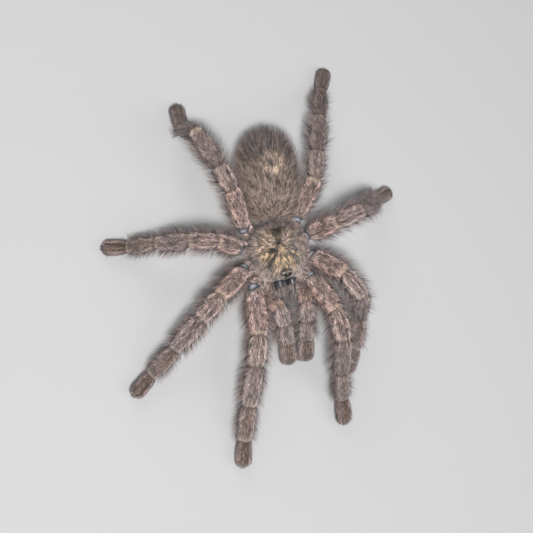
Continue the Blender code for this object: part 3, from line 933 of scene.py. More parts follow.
    def marks(self, code: Array, station: Array, off_top: Array, nearest: Array,
              to_joint: Array, knob: Array, grain: Array) -> dict:
        """Shares of the marks over the limb.

        Uneven pale bands run along either side of the top, between dark lines. A dark
        line crosses each joint, behind a golden ring that ends the segment. Pale rims
        and dark lines go round the bare knob of the hip, and inside its dark outline the
        knob is darkened from the middle outwards: painted shade that rounds it, which
        leaves its pale middle as partly its own blue-grey and partly a painted highlight.
        The shin has a foxy back, and a foot a foxy stripe between dark lines, greyish
        edges and a pale end. A palp's femur has pale edges round a foxy oval. Painted
        shade darkens the outer segments, the more the further out, and most on the hind
        legs.

        Args:
            code: The segment's number.
            station: Share of the way along the segment.
            off_top: Angle from the top.
            nearest: Distance to the nearest joint.
            to_joint: Distance to the next joint outwards.
            knob: Distance from the knob, in its half lengths.
            grain: Unevenness of the bands.

        Returns:
            Mark to its shares over the grid.
        """
        foot, shin = code == Part.TARSUS.value, code == Part.METATARSUS.value
        femur, palp = code == Part.FEMUR.value, self.swells is PALP_SWELLS
        hip = femur | (code == Part.COXA.value)
        body = between(station, 0.08, 0.95, 0.08)
        band_power = by_part(code, 0.2, 0.4, 0.6, 0.5, 0.45, 0.0) * body
        bands = bell(off_top, 50.0, 17.0) * band_power * (0.85 + 0.5 * grain)
        bands = bands + 0.5 * bell(off_top, 0.0, 5.0) * (code == Part.PATELLA.value) * body
        band_lines = band_power * (0.5 * bell(off_top, 14.0, 12.0)
                                   + 0.4 * bell(off_top, 84.0, 10.0))
        ring_power = by_part(code, 0.0, 0.7, 0.3, 0.95, 1.0, 0.0) * (0.35 if palp else 1.0)
        ring_width = by_part(code, 1.1, 1.1, 1.1, 1.7, 1.7, 1.1)
        ring = ring_power * between(to_joint, 0.1, ring_width, 0.3) * fall(off_top, 50.0, 95.0)
        on_foot = foot * between(station, 0.06, 0.86, 0.08)
        stripe = on_foot * bell(off_top, 0.0, 16.0)
        foot_lines = on_foot * (bell(off_top, 25.0, 6.0) + 0.6 * bell(off_top, 0.0, 4.0))
        foot_side = foot * between(off_top, 38.0, 130.0, 8.0)
        toe_pad = foot * ramp(station, 0.84, 0.97)
        oval = femur * palp * body
        joint_power = by_part(code, 0.0, 0.75, 0.5, 0.75, 0.9, 0.6)
        joint_line = bell(nearest, -0.15, 0.3) * (knob > 2.2) * joint_power
        # Painted shade: the outer segments darken, the more the further out.
        painted_shade = (self.painted_shade * by_part(code, 0.0, 0.0, 0.3, 0.7, 1.0, 1.0)
                * (1.0 - toe_pad) * (1.0 - ring))
        knob_rims = bell(knob, 1.85, 0.3) + 0.9 * bell(knob, 3.2, 0.35)
        # Dark lines round the knob, and painted shade that darkens it from its middle outwards,
        # leaving a painted highlight in its pale middle.
        knob_lines_and_shade = (0.85 * bell(knob, 1.2, 0.22) + 0.6 * bell(knob, 2.5, 0.28) * hip
                      + 0.85 * ramp(knob, 0.3, 0.95) * fall(knob, 1.1, 1.4))
        return {
            Mark.WARM: np.clip(0.5 * stripe + 0.6 * shin * bell(off_top, 0.0, 38.0) * body
                               + 0.5 * femur * bell(off_top, 62.0, 22.0) * body
                               + 0.65 * foot * (1.0 - 0.6 * foot_side)
                               + 0.15 * oval * bell(off_top, 0.0, 45.0), 0.0, 1.0),
            Mark.GOLD: np.clip(0.85 * ring + 0.22 * stripe, 0.0, 1.0),
            Mark.PALE: np.clip(bands * (1.0 - 0.8 * oval) + 0.6 * oval * bell(off_top, 85.0, 22.0)
                               + 0.7 * toe_pad + 0.75 * hip * knob_rims + 0.25 * foot_side
                               + 0.45 * ring, 0.0, 0.9),
            Mark.DARK: np.clip(joint_line + band_lines + knob_lines_and_shade + painted_shade
                               + 0.35 * ramp(off_top, 112.0, 160.0) + 0.7 * foot_lines
                               + 0.4 * foot * (1.0 - toe_pad) * (1.0 - 0.4 * foot_side)
                               + 0.14 * shin, 0.0, 0.9),
            Mark.BARE: fall(knob, 1.1, 1.35),
        }

    def dress(self, hide: Hide, code: Array, station: Array, off_top: Array, to_joint: Array,
              knob: Array) -> None:
        """Set where each kind of hair grows and how long it is.

        The top is short haired, the flanks carry a comb of long hairs, the underside of
        the foot and of the outer shin a dense brush, and hair shortens before each joint.

        Args:
            hide: The hide.
            code: The segment's number.
            station: Share of the way along the segment.
            off_top: Angle from the top.
            to_joint: Distance to the next joint outwards.
            knob: Distance from the knob, in its half lengths.
        """
        haired = ramp(knob, 1.3, 1.6)
        flank = bell(off_top, 94.0, 28.0)
        shin, foot = code == Part.METATARSUS.value, code == Part.TARSUS.value
        lower = ramp(off_top, 70.0 - 12.0 * foot, 96.0)
        brush_power = by_part(code, 0.0, 0.0, 0.0, 0.0, 0.75, 1.3) * np.where(
            shin, ramp(station, 0.3, 0.6), 1.0)
        down_power = by_part(code, 0.9, 1.0, 1.0, 1.0, 1.05, 1.4)
        guard_power = by_part(code, 0.9, 0.7, 0.7, 0.9, 0.9, 0.12)
        fringe_power = by_part(code, 0.25, 0.9, 1.0, 1.1, 0.8, 0.06)
        hide.cover = {
            DOWN: haired * (0.55 + 0.45 * ramp(to_joint, 0.1, 0.6)) * (1.0 - 0.45 * lower)
            * down_power,
            BRUSH: brush_power * lower,
            GUARD: haired * guard_power * ramp(to_joint, 1.0, 1.8) * (0.18 + 0.42 * flank),
            FRINGE: fringe_power * ramp(to_joint, 0.8, 1.6) * flank ** 1.5,
        }
        size = (by_part(code, 1.15, 0.95, 0.85, 1.05, 0.9, 0.62) * self.stoutness
                * (0.45 + 0.55 * ramp(to_joint, 0.8, 2.4)))
        fringe_size = 0.55 + 0.45 * min(1.0, self.stoutness + 0.1)
        hide.reach = {
            DOWN: size * (1.0 + self.wide_flank * flank), GUARD: size,
            FRINGE: by_part(code, 0.7, 1.0, 0.95, 0.95, 0.8, 0.45) * fringe_size,
        }


def legs() -> list:
    """The eight legs, as posed.

    Returns:
        The limbs, left side first, from front to rear.
    """
    plans = {
        1: ((5.0, -6.0, 5.6), (11.2, -10.8, 8.2), (18.0, 11.0, 15.7, 14.0, 10.6), 1.0),
        2: ((6.2, -2.2, 5.6), (13.8, -3.3, 8.2), (16.5, 10.4, 14.8, 13.5, 10.4), 0.96),
        3: ((6.2, 2.2, 5.6), (13.6, 5.0, 8.2), (14.0, 10.0, 12.6, 12.2, 9.6), 0.9),
        4: ((4.6, 6.2, 5.6), (10.4, 12.0, 8.2), (17.5, 10.0, 15.3, 16.0, 10.0), 0.92),
    }
    poses = {
        ("left", 1): ((13, -2, 0, 5, -4), (36, 11, -38)),
        ("left", 2): ((36, 26, 13, -11, -32), (47, 1, -55)),
        ("left", 3): ((103, 104, 105, 105, 105), (48, 21, -39)),
        ("left", 4): ((150, 161, 158, 150, 155), (33, -6, -19)),
        ("right", 1): ((12, 16, 18, 15, 14), (18, -8, -18)),
        ("right", 2): ((60, 51, 50, 51, 53), (28, -5, -24)),
        ("right", 3): ((110, 102, 99, 97, 100), (39, 4, -35)),
        ("right", 4): ((164, 155, 160, 168, 178), (33, 22, -12)),
    }
    ankle_z, toe_z = 3.2, 2.4
    knob_turns = {"left": 8.0, "right": 44.0}
    made = []
    for (side_name, pair), (headings, pitches) in poses.items():
        coxa, hip, lengths, stout = plans[pair]
        plot = Plot(0.02, 0.01 + 0.07 * len(made), 0.96, 0.062)
        # The hind legs get the most painted shade.
        made.append(Limb(f"leg_{pair}_{side_name}", SIDES[side_name], coxa, hip, lengths,
                         headings, pitches, (ankle_z * stout, toe_z * stout), stout, LEG_SWELLS,
                         plot, knob_turns[side_name], painted_shade=0.26 if pair == 4 else 0.1))
    return made


def palps() -> list:
    """The two palps, as posed.

    Returns:
        The limbs, left first.
    """
    poses = {"left": ((-20, -1, -4, -8), (57, -29, -31)),
             "right": ((-32, -11, -6, -2), (56, -29, -28))}
    made = []
    for side_name, (headings, pitches) in poses.items():
        plot = Plot(0.02 + 0.49 * len(made), 0.575, 0.47, 0.06)
        made.append(Limb(f"palp_{side_name}", SIDES[side_name], (2.8, -8.8, 4.6),
                         (7.25, -15.4, 6.4), (8.6, 7.4, 8.4, 9.8), headings, pitches, (2.3,),
                         1.0, PALP_SWELLS, plot, columns=32, step=0.45, skin_share=0.96,
                         pinch=0.08, fine=0.85, knob_size=0.55, wide_flank=0.25))
    return made


# ---------------------------------------------------------------- body

@dataclass(frozen=True)
class Carapace:
    """The plate over the front part of the body, and the trunk under it."""

    front_y: float = -10.3
    rear_y: float = 10.2
    half_width: float = 9.6
    front_taper: float = 0.30
    rear_taper: float = 0.14
    widest_y: float = 2.2
    underside_z: float = 9.8
    rim: float = 1.3
    head_rise: float = 5.4
    rear_rise: float = 2.6
    fovea_y: float = 4.0
    fovea_depth: float = 0.9
    coat_depth: float = 0.35
    columns: int = 180

    def outline(self, angles: Array) -> Array:
        """Edge from above: an ellipse with squared corners, narrower to the front and rear.

        Args:
            angles: Angles round the plate, in radians.

        Returns:
            X and Y of the edge at each angle.
        """
        middle_y = (self.front_y + self.rear_y) / 2.0
        half_length = (self.rear_y - self.front_y) / 2.0
        across = np.sign(np.cos(angles)) * np.abs(np.cos(angles)) ** 0.52
        along = np.sign(np.sin(angles)) * np.abs(np.sin(angles)) ** 0.57
        y = middle_y + half_length * along
        ahead = np.clip((self.widest_y - y) / (self.widest_y - self.front_y), 0.0, 1.0)
        behind = np.clip((y - self.widest_y) / (self.rear_y - self.widest_y), 0.0, 1.0)
        narrowing = 1.0 - self.front_taper * ahead ** 1.4 - self.rear_taper * behind ** 1.6
        return np.stack([self.half_width * across * narrowing, y], axis=-1)

    def rise(self, y: Array, share: Array) -> Array:
        """Height above the rim, at a share of the way to the edge.

        A midline that steps down to the rear falls to the rim by a power of the share,
        which grows towards the front.

        Args:
            y: Y of each place.
            share: Share of the way from the middle to the edge.

        Returns:
            The height of each place.
        """
        step = ramp(y - self.front_y, 7.0, 20.5)
        midline = self.head_rise + (self.rear_rise - self.head_rise) * step
        ahead = np.clip((self.fovea_y - y) / (self.fovea_y - self.front_y), 0.0, 1.0)
        power = 2.6 + 5.4 * ahead ** 2
        return midline * np.clip(1.0 - share ** power, 0.0, 1.0) ** 0.8

    def top_z(self, y: float) -> float:
        """Height of the plate on its midline.

        Args:
            y: Y of the place.

        Returns:
            Height from the floor.
        """
        middle_y = self.fovea_y - 2.0
        share = abs(y - middle_y) / (middle_y - self.front_y)
        return self.underside_z + self.rim + float(self.rise(np.array(y), np.array(share)))

    def polar(self, points: Array) -> tuple:
        """Distance from the fovea, and angle from straight ahead, in degrees."""
        x, y = points[..., 0], points[..., 1] - self.fovea_y
        return np.hypot(x, y), np.degrees(np.arctan2(np.abs(x), -y))

    def hide(self) -> Hide:
        """The plate: shrinking outlines over a rim, with furrows that run from the fovea.

        Returns:
            The hide, marked and dressed.
        """
        angles = angles_round(self.columns)
        inset = 1.0 - self.coat_depth / self.half_width
        middle = np.array([0.0, self.fovea_y - 2.0])
        edge = middle + (self.outline(angles) - middle) * inset
        share = np.linspace(0.015, 1.0, 56)[:, None]
        flat = middle + (edge - middle)[None, :, :] * share[..., None]
        top = self.underside_z + self.rim + self.rise(flat[..., 1], share) - self.coat_depth
        distance, bearing = self.polar(flat)
        arc = np.radians(1.0) * distance
        furrows = sum(depth * bell((bearing - centre) * arc, 0.0, width)
                      * ramp(distance, 0.6, 2.0) * fall(distance, reach - 2.5, reach)
                      for centre, depth, width, reach in (
                          (37.0, 0.42, 0.5, 11.5), (70.0, 0.3, 0.5, 8.5),
                          (103.0, 0.3, 0.5, 8.5), (136.0, 0.28, 0.5, 7.5)))
        pit = blob(flat[..., 0], flat[..., 1] - self.fovea_y, 1.6, 0.7)
        top = (top - furrows - self.fovea_depth * pit
               + 0.08 * ripple(np.dstack([flat, top]), 3.0, 21))
        dome = np.dstack([flat, top])
        rim_drop = np.array([0.35, 0.7, 1.0])[:, None, None] * (self.rim - self.coat_depth + 0.1)
        rim = dome[-1][None] - rim_drop * UP
        inward = np.array([0.93, 0.75, 0.5, 0.25, 0.03])[:, None, None]
        under = np.concatenate([middle + (rim[-1, :, :2] - middle) * inward,
                                np.broadcast_to(rim[-1, :, 2:] - 0.15, (5, self.columns, 1))],
                               axis=-1)
        points = np.concatenate([dome, rim, under])
        share = np.concatenate([share[:, 0], np.linspace(1.02, 1.1, 3), np.full(5, 1.5)])[:, None]
        away = points - np.array([0.0, self.fovea_y, 0.0])
        away[..., 2] = 0.0
        drop = ramp(share, 0.97, 1.05)[..., None]
        lie = unit(away) * (1.0 - 0.5 * drop) - drop * UP * 0.5
        hide = Hide(points, Plot(0.47, 0.65, 0.25, 0.34), self.marks(points, share),
                    fine=0.7, core=np.array([0.0, 1.0, 8.0]), lie=lie)
        edge_hair = bell(share, 1.0, 0.07)
        shown = fall(share, 1.1, 1.3)
        bald = 1.0 - 0.85 * bell(distance_to_hump(points), 0.0, 1.55)
        thin = 1.0 - 0.5 * np.pad(pit, ((0, len(points) - len(pit)), (0, 0)))
        hide.cover = {DOWN: 3.4 * shown * bald * thin,
                      GUARD: 3.4 * edge_hair * shown * bald,
                      FRINGE: 0.8 * edge_hair * shown}
        side_edge = edge_hair * ramp(points[..., 1], -9.0, -5.0)
        front_edge = edge_hair * fall(points[..., 1], -9.0, -7.0)
        hide.reach = {DOWN: 0.55 + 1.1 * side_edge - 0.2 * front_edge,
                      GUARD: 0.55 + 0.75 * side_edge - 0.25 * front_edge,
                      FRINGE: 0.3 + 0.3 * side_edge - 0.2 * front_edge}
        return hide

    def marks(self, points: Array, share: Array) -> dict:
        """Shares of the marks over the plate.

        Golden strokes fan out forwards from the fovea between two long dark furrows, and
        shorter ones lie outside the furrows. Fine golden dashes fan out to the sides,
        and the rear is darkened by painted shade. The margin is pinkish, the front lip pale,
        and a dark ring goes round the eyes. Strokes are random values on a lattice of bearing
        and distance.

        Args:
            points: The plate's grid.
            share: Share of the way to the edge, and more than 1 beyond it.

        Returns:
            Mark to its shares over the grid.
        """
        distance, bearing = self.polar(points)
        signed = bearing * np.sign(points[..., 0])
        broad = ramp(mottle(distance / 2.2 + 3.0, signed / 6.0 + 40.0, 61), 0.4, 0.5)
        fine = ramp(mottle(distance / 1.5 + 9.0, signed / 5.0 + 70.0, 62), 0.45, 0.57)
        front = fall(bearing, 25.0, 29.0) * between(distance, 2.0, 7.8, 1.0)
        beside = (ramp(bearing, 41.0, 45.0) * fall(bearing, 62.0, 80.0)
                  * between(distance, 2.0, 7.4, 1.2))
        sides = (ramp(bearing, 50.0, 68.0) * fall(bearing, 145.0, 165.0)
                 * between(distance, 1.8, 8.4, 1.2))
        face = fall(points[..., 1], -7.0, -3.5) * fall(share, 0.85, 1.0)
        off_furrow = np.radians(bearing - 34.0) * distance
        furrow = (bell(off_furrow / (0.3 + 0.05 * distance), 0.0, 1.0)
                  * between(distance, 1.6, 10.5, 1.0))
        middle_line = bell(points[..., 0], 0.0, 0.2) * front
        pit = blob(points[..., 0], points[..., 1] - self.fovea_y, 1.9, 0.8)
        margin = ramp(share, 0.88, 1.0) * fall(share, 1.05, 1.2)
        lip = between(share, 0.9, 1.05, 0.04) * fall(points[..., 1], -9.0, -8.0)
        # Where the plate is darkened by painted shade.
        rear = ramp(bearing, 120.0, 175.0)
        ring = bell(distance_to_hump(points), 1.75, 0.3)
        gold = front * (0.15 + 0.85 * broad) + 0.85 * beside * broad + 0.75 * sides * fine
        lines = 0.8 * (front + beside) * (1.0 - broad) + 0.3 * sides * (1.0 - fine)
        return {
            Mark.OLIVE: 1.0 - 0.6 * margin,
            Mark.GOLD: np.clip(0.85 * gold + 0.2 * face, 0.0, 1.0),
            Mark.PALE: np.clip(0.3 * margin + 0.8 * lip + 0.3 * sides * fine + 0.1 * face
                               + 0.1 * ramp(bearing, 60.0, 90.0) * (1.0 - rear), 0.0, 1.0),
            Mark.DARK: np.clip(0.95 * pit + 0.95 * furrow + lines + 0.6 * middle_line + 0.8 * ring
                               + ramp(share, 1.1, 1.4) + 0.2 * rear * (1.0 - margin), 0.0, 0.95),
        }

    def trunk(self) -> Hide:
        """The breast plate and the soft sides above it: outlines that widen upwards.

        Returns:
            The hide, marked and dressed.
        """
        angles = angles_round(60)
        edge = self.outline(angles)
        middle = np.array([0.0, 0.5])
        shares = np.array([0.03, 0.16, 0.28, 0.36, 0.4, 0.42, 0.46, 0.56, 0.7, 0.8, 0.83, 0.6, 0.2])
        heights = np.array([3.75, 3.7, 3.8, 4.1, 4.6, 5.4, 6.3, 7.2, 8.2, 9.2, 10.0, 10.4, 10.5])
        flat = middle + (edge - middle)[None] * shares[:, None, None] * np.array([1.0, 0.98])
        points = np.dstack([flat, np.broadcast_to(heights[:, None], flat.shape[:2])])
        hide = Hide(points, Plot(0.87, 0.65, 0.11, 0.15), {Mark.DARK: 0.35},
                    core=np.array([0.0, 0.5, 7.0]), lie=np.array([0.0, 1.0, 0.0]))
        hide.cover = {DOWN: 0.9 * fall(heights[:, None], 8.5, 9.5),
                      GUARD: 0.4 * fall(heights[:, None], 8.0, 9.0)}
        hide.reach = {DOWN: 0.7, GUARD: 0.6}
        return hide


def distance_to_hump(points: Array) -> Array:
    """Level distance from the eye hump, in units of its half length, wider than long."""
    return np.hypot(points[..., 0] / 1.4, points[..., 1] - EyeHump.y)


@dataclass(frozen=True)
class Abdomen:
    """The hind part of the body, its stalk and its two long spinnerets."""

    front_y: float = 11.6
    length: float = 32.6
    half_width: float = 10.9
    half_height: float = 9.3
    centre_z: float = 11.8
    yaw: float = 6.0
    fullness: float = 2.3
    rear_swell: float = 0.12
    coat_depth: float = 0.55

    def turn(self, points: Array) -> Array:
        """Turn points about the stalk, towards the animal's left.

        Args:
            points: Places before the turn.

        Returns:
            Places after it.
        """
        yaw = math.radians(self.yaw)
        pivot = np.array([0.0, self.front_y, 0.0])
        matrix = np.array([[math.cos(yaw), math.sin(yaw), 0.0],
                           [-math.sin(yaw), math.cos(yaw), 0.0], [0.0, 0.0, 1.0]])
        return (points - pivot) @ matrix.T + pivot

    def hide(self) -> Hide:
        """A long egg: a superellipse profile along its length, an ellipse across it.

        Returns:
            The hide, marked and dressed.
        """
        station = (1.0 - np.cos(np.linspace(0.06, math.pi - 0.05, 92)))[:, None] / 2.0
        reach = np.abs(2.0 * station - 1.0)
        girth = (1.0 - reach ** self.fullness) ** (1.0 / self.fullness)
        girth = girth * (1.0 - self.rear_swell * (0.6 - station))
        angles = angles_round(80)[None, :]
        wide = (self.half_width - self.coat_depth) * girth
        tall = (self.half_height - self.coat_depth) * girth
        tall = tall * np.where(np.sin(angles) > 0.0, 1.0, 0.94)
        inset = self.coat_depth * (1.0 - 2.0 * station)
        flat = np.stack(np.broadcast_arrays(
            -np.cos(angles) * wide, self.front_y + self.length * station + inset,
            self.centre_z + np.sin(angles) * tall), axis=-1)
        swell = 1.0 + 0.02 * ripple(flat, 7.0, 31) + 0.008 * ripple(flat, 2.5, 32)
        middle = np.array([0.0, 0.0, self.centre_z])
        flat[..., [0, 2]] = (middle + (flat - middle) * swell[..., None])[..., [0, 2]]
        points = self.turn(flat)
        splay = flat[..., :1] / self.half_width * np.array([0.8, 0.0, 0.0])
        lie = unit(np.gradient(points, axis=0)) + splay
        hide = Hide(points, Plot(0.01, 0.65, 0.44, 0.34), self.marks(flat, station),
                    fine=0.6, lie=lie)
        rear = ramp(station, 0.55, 0.95)
        side = ramp(self.centre_z + 5.0 - flat[..., 2], 0.0, 6.0)
        front_rim = fall(station, 0.0, 0.05)
        patch = hide.marks[Mark.OLIVE]
        off_patch = 1.0 - patch
        hide.cover = {DOWN: 1.2 * (1.0 - 0.3 * ramp(side, 0.6, 1.0)),
                      GUARD: off_patch * (0.5 + 0.9 * np.maximum(rear, side) + front_rim),
                      FRINGE: off_patch * (0.03 + 1.0 * np.maximum(rear ** 1.5, 0.9 * side))}
        hide.reach = {DOWN: 1.0 - 0.5 * front_rim - 0.15 * rear - 0.3 * patch,
                      GUARD: 0.8 - 0.3 * front_rim, FRINGE: 0.85 + 0.15 * rear}
        return hide

    def marks(self, flat: Array, station: Array) -> dict:
        """Shares of the marks over the abdomen.

        The front rim is dark, partly its own dark brown and partly painted shade on the
        face that turns forwards. The front of the back is greyish. The rear and the sides
        turn foxy. An olive-yellow patch with a dark spot lies on the midline towards the
        rear, in a darker halo.

        Args:
            flat: The grid before its turn.
            station: Share of the way to the rear.

        Returns:
            Mark to its shares over the grid.
        """
        x, y = flat[..., 0], flat[..., 1] - self.front_y
        top = ramp(flat[..., 2], self.centre_z, self.centre_z + 5.0)
        patch_x, patch_y, patch_wide, patch_long = 0.2, 20.6, 2.9, 3.3
        off_patch = np.hypot((x - patch_x) / patch_wide, (y - patch_y) / patch_long)
        halo = bell(off_patch, 2.0, 0.6) * top
        spot = blob(x + 0.9, y - patch_y, 1.3, 1.6) * top
        patch = top * np.clip(2.4 * bell(off_patch, 0.0, 1.0), 0.0, 1.0) * (1.0 - spot)
        line = bell(x, 0.0, 1.0) * top * between(y, 6.0, 19.0, 3.0)
        front = blob(x, y - 8.0, 7.0, 7.5) * top
        uneven = ripple(flat, 5.0, 41)
        rear = ramp(y + 0.35 * np.abs(x), 19.5, 29.0)
        return {
            Mark.UMBER: 1.0 - patch,
            Mark.WARM: np.clip(0.5 * rear + 0.3 * (1.0 - top) + 0.1 * uneven, 0.0, 0.7),
            Mark.OLIVE: patch,
            Mark.GOLD: 0.36 * patch,
            Mark.PALE: np.clip(0.12 * front + 0.25 * patch + 0.08 * uneven, 0.0, 1.0),
            # The front rim's dark is partly painted shade.
            Mark.DARK: np.clip(0.95 * fall(station, 0.0, 0.04) + 1.1 * spot + 0.2 * line
                               + 0.7 * rear - 0.9 * patch + 0.16 * halo + 0.08 + 0.1 * uneven
                               + 0.2 * fall(flat[..., 2], 4.0, 8.0), 0.0, 0.9),
        }

    def tube(self, start: Array, end: Array, radii: Array, plot: Plot, dark: float) -> Hide:
        """A straight tube with the given radii from end to end.

        Args:
            start: Middle of one end.
            end: Middle of the other.
            radii: One radius for each ring.
            plot: Its rectangle on the unwrap.
            dark: Share of the dark mark.

        Returns:
            The hide, marked and dressed.
        """
        line = start + np.linspace(0.0, 1.0, len(radii))[:, None] * (end - start)
        angles, size = angles_round(20), radii[:, None]
        points = rings(line, frame_along(line), np.cos(angles) * size, np.sin(angles) * size)
        hide = Hide(points, plot, {Mark.UMBER: 0.7, Mark.DARK: dark})
        hide.cover = {DOWN: 1.0, GUARD: 0.7}
        hide.reach = {DOWN: 0.55, GUARD: 0.42}
        return hide

    def stalk(self) -> Hide:
        """The pedicel that joins the two parts of the body.

        Returns:
            The hide, marked and dressed.
        """
        radii = np.array([0.05, *[2.1] * 6, 2.2, 0.1])
        return self.tube(np.array([0.0, 8.0, 8.4]), np.array([0.0, 14.0, 9.9]), radii,
                         Plot(0.87, 0.83, 0.11, 0.04), 0.6)

    def spinnerets(self) -> list:
        """Two spinnerets of three articles, each narrower at its joints and at its tip.

        Returns:
            Their hides, left first.
        """
        stations = np.linspace(0.0, 1.0, 25)
        articles = 0.25 + 0.75 * np.abs(np.sin(math.pi * 3.0 * np.clip(stations, 0.0, 0.97))) ** 0.3
        radii = np.maximum((1.05 - 0.6 * stations) * articles * np.sqrt(1.0 - stations ** 8), 0.03)
        made = []
        for side in SIDES.values():
            root = np.array([1.9 * side, 41.2, 6.7])
            tip = np.array([1.9 * side, 42.6, 6.9]) + heading_vector(side, 167.0, 10.0) * 4.9
            plot = Plot(0.87, 0.88 + 0.05 * len(made), 0.11, 0.04)
            made.append(self.tube(self.turn(root), self.turn(tip), radii, plot, 0.0))
        return made


@dataclass(frozen=True)
class Chelicera:
    """One of the two stout jaws in front of the mouth."""

    side: float
    x: float = 2.37
    base_y: float = -9.9
    length: float = 8.6
    base_z: float = 10.7
    drop: float = 3.0
    half_width: float = 2.2
    half_height: float = 3.5
    skin_share: float = 0.9

    def hide(self) -> Hide:
        """Ellipses along an axis that sinks with the square of the distance.

        The front is rounded, a low hump lies over the base, and the base is bare. The jaws
        are dark, partly their own colour and partly painted shade, deepest between them and
        underneath.

        Returns:
            The hide, marked and dressed.
        """
        station = np.linspace(0.0, 0.996, 44)[:, None]
        angles = angles_round(40)[None, :]
        drawn_in = np.sqrt(1.0 - np.clip((station - 0.6) / 0.4, 0.0, 1.0) ** 2.4)
        hump = 1.0 + 0.08 * bell(station, 0.35, 0.22) * np.clip(np.sin(angles), 0.0, 1.0)
        wide = self.half_width * self.skin_share * (1.0 - 0.38 * station ** 2) * drawn_in
        tall = self.half_height * self.skin_share * (1.0 - 0.42 * station ** 2) * drawn_in * hump
        points = np.stack(np.broadcast_arrays(
            self.side * (self.x - 0.5 * station ** 2) + np.cos(angles) * wide,
            self.base_y - self.length * station,
            self.base_z - self.drop * station ** 2 + np.sin(angles) * tall), axis=-1)
        off_top = off_angle(angles, 90.0)
        bare = fall(station, 0.16, 0.24) * fall(off_top, 70.0, 95.0)
        # Painted shade: the jaws darken towards the gap between them and underneath, over their own
        # dark colour.
        inner = bell(self.side * points[..., 0], 0.4, 0.7)
        marks = {Mark.DARK: np.clip(0.55 + 0.4 * inner + 0.25 * ramp(off_top, 90.0, 140.0)
                                    + 0.35 * bare, 0.0, 0.95),
                 Mark.WARM: 0.2 * bell(station, 0.7, 0.3),
                 Mark.PALE: 0.3 * bell(off_top, 25.0, 16.0) * ramp(station, 0.25, 0.4),
                 Mark.BARE: bare}
        plot = Plot(0.74, 0.65 if self.side > 0.0 else 0.82, 0.12, 0.16)
        hide = Hide(points, plot, marks)
        haired = 1.0 - 0.88 * ramp(bare, 0.2, 0.7)
        hide.cover = {DOWN: 1.4 * haired,
                      GUARD: 0.9 * haired * (0.4 + 0.6 * ramp(station, 0.3, 0.7)),
                      FRINGE: 0.3 * haired * ramp(off_top, 60.0, 120.0),
                      BRUSH: 0.6 * ramp(off_top, 120.0, 150.0) * ramp(station, 0.3, 0.5)}
        hide.reach = {DOWN: 0.6, GUARD: 0.6, FRINGE: 0.5, BRUSH: 1.1}
        return hide


# ---------------------------------------------------------------- coat

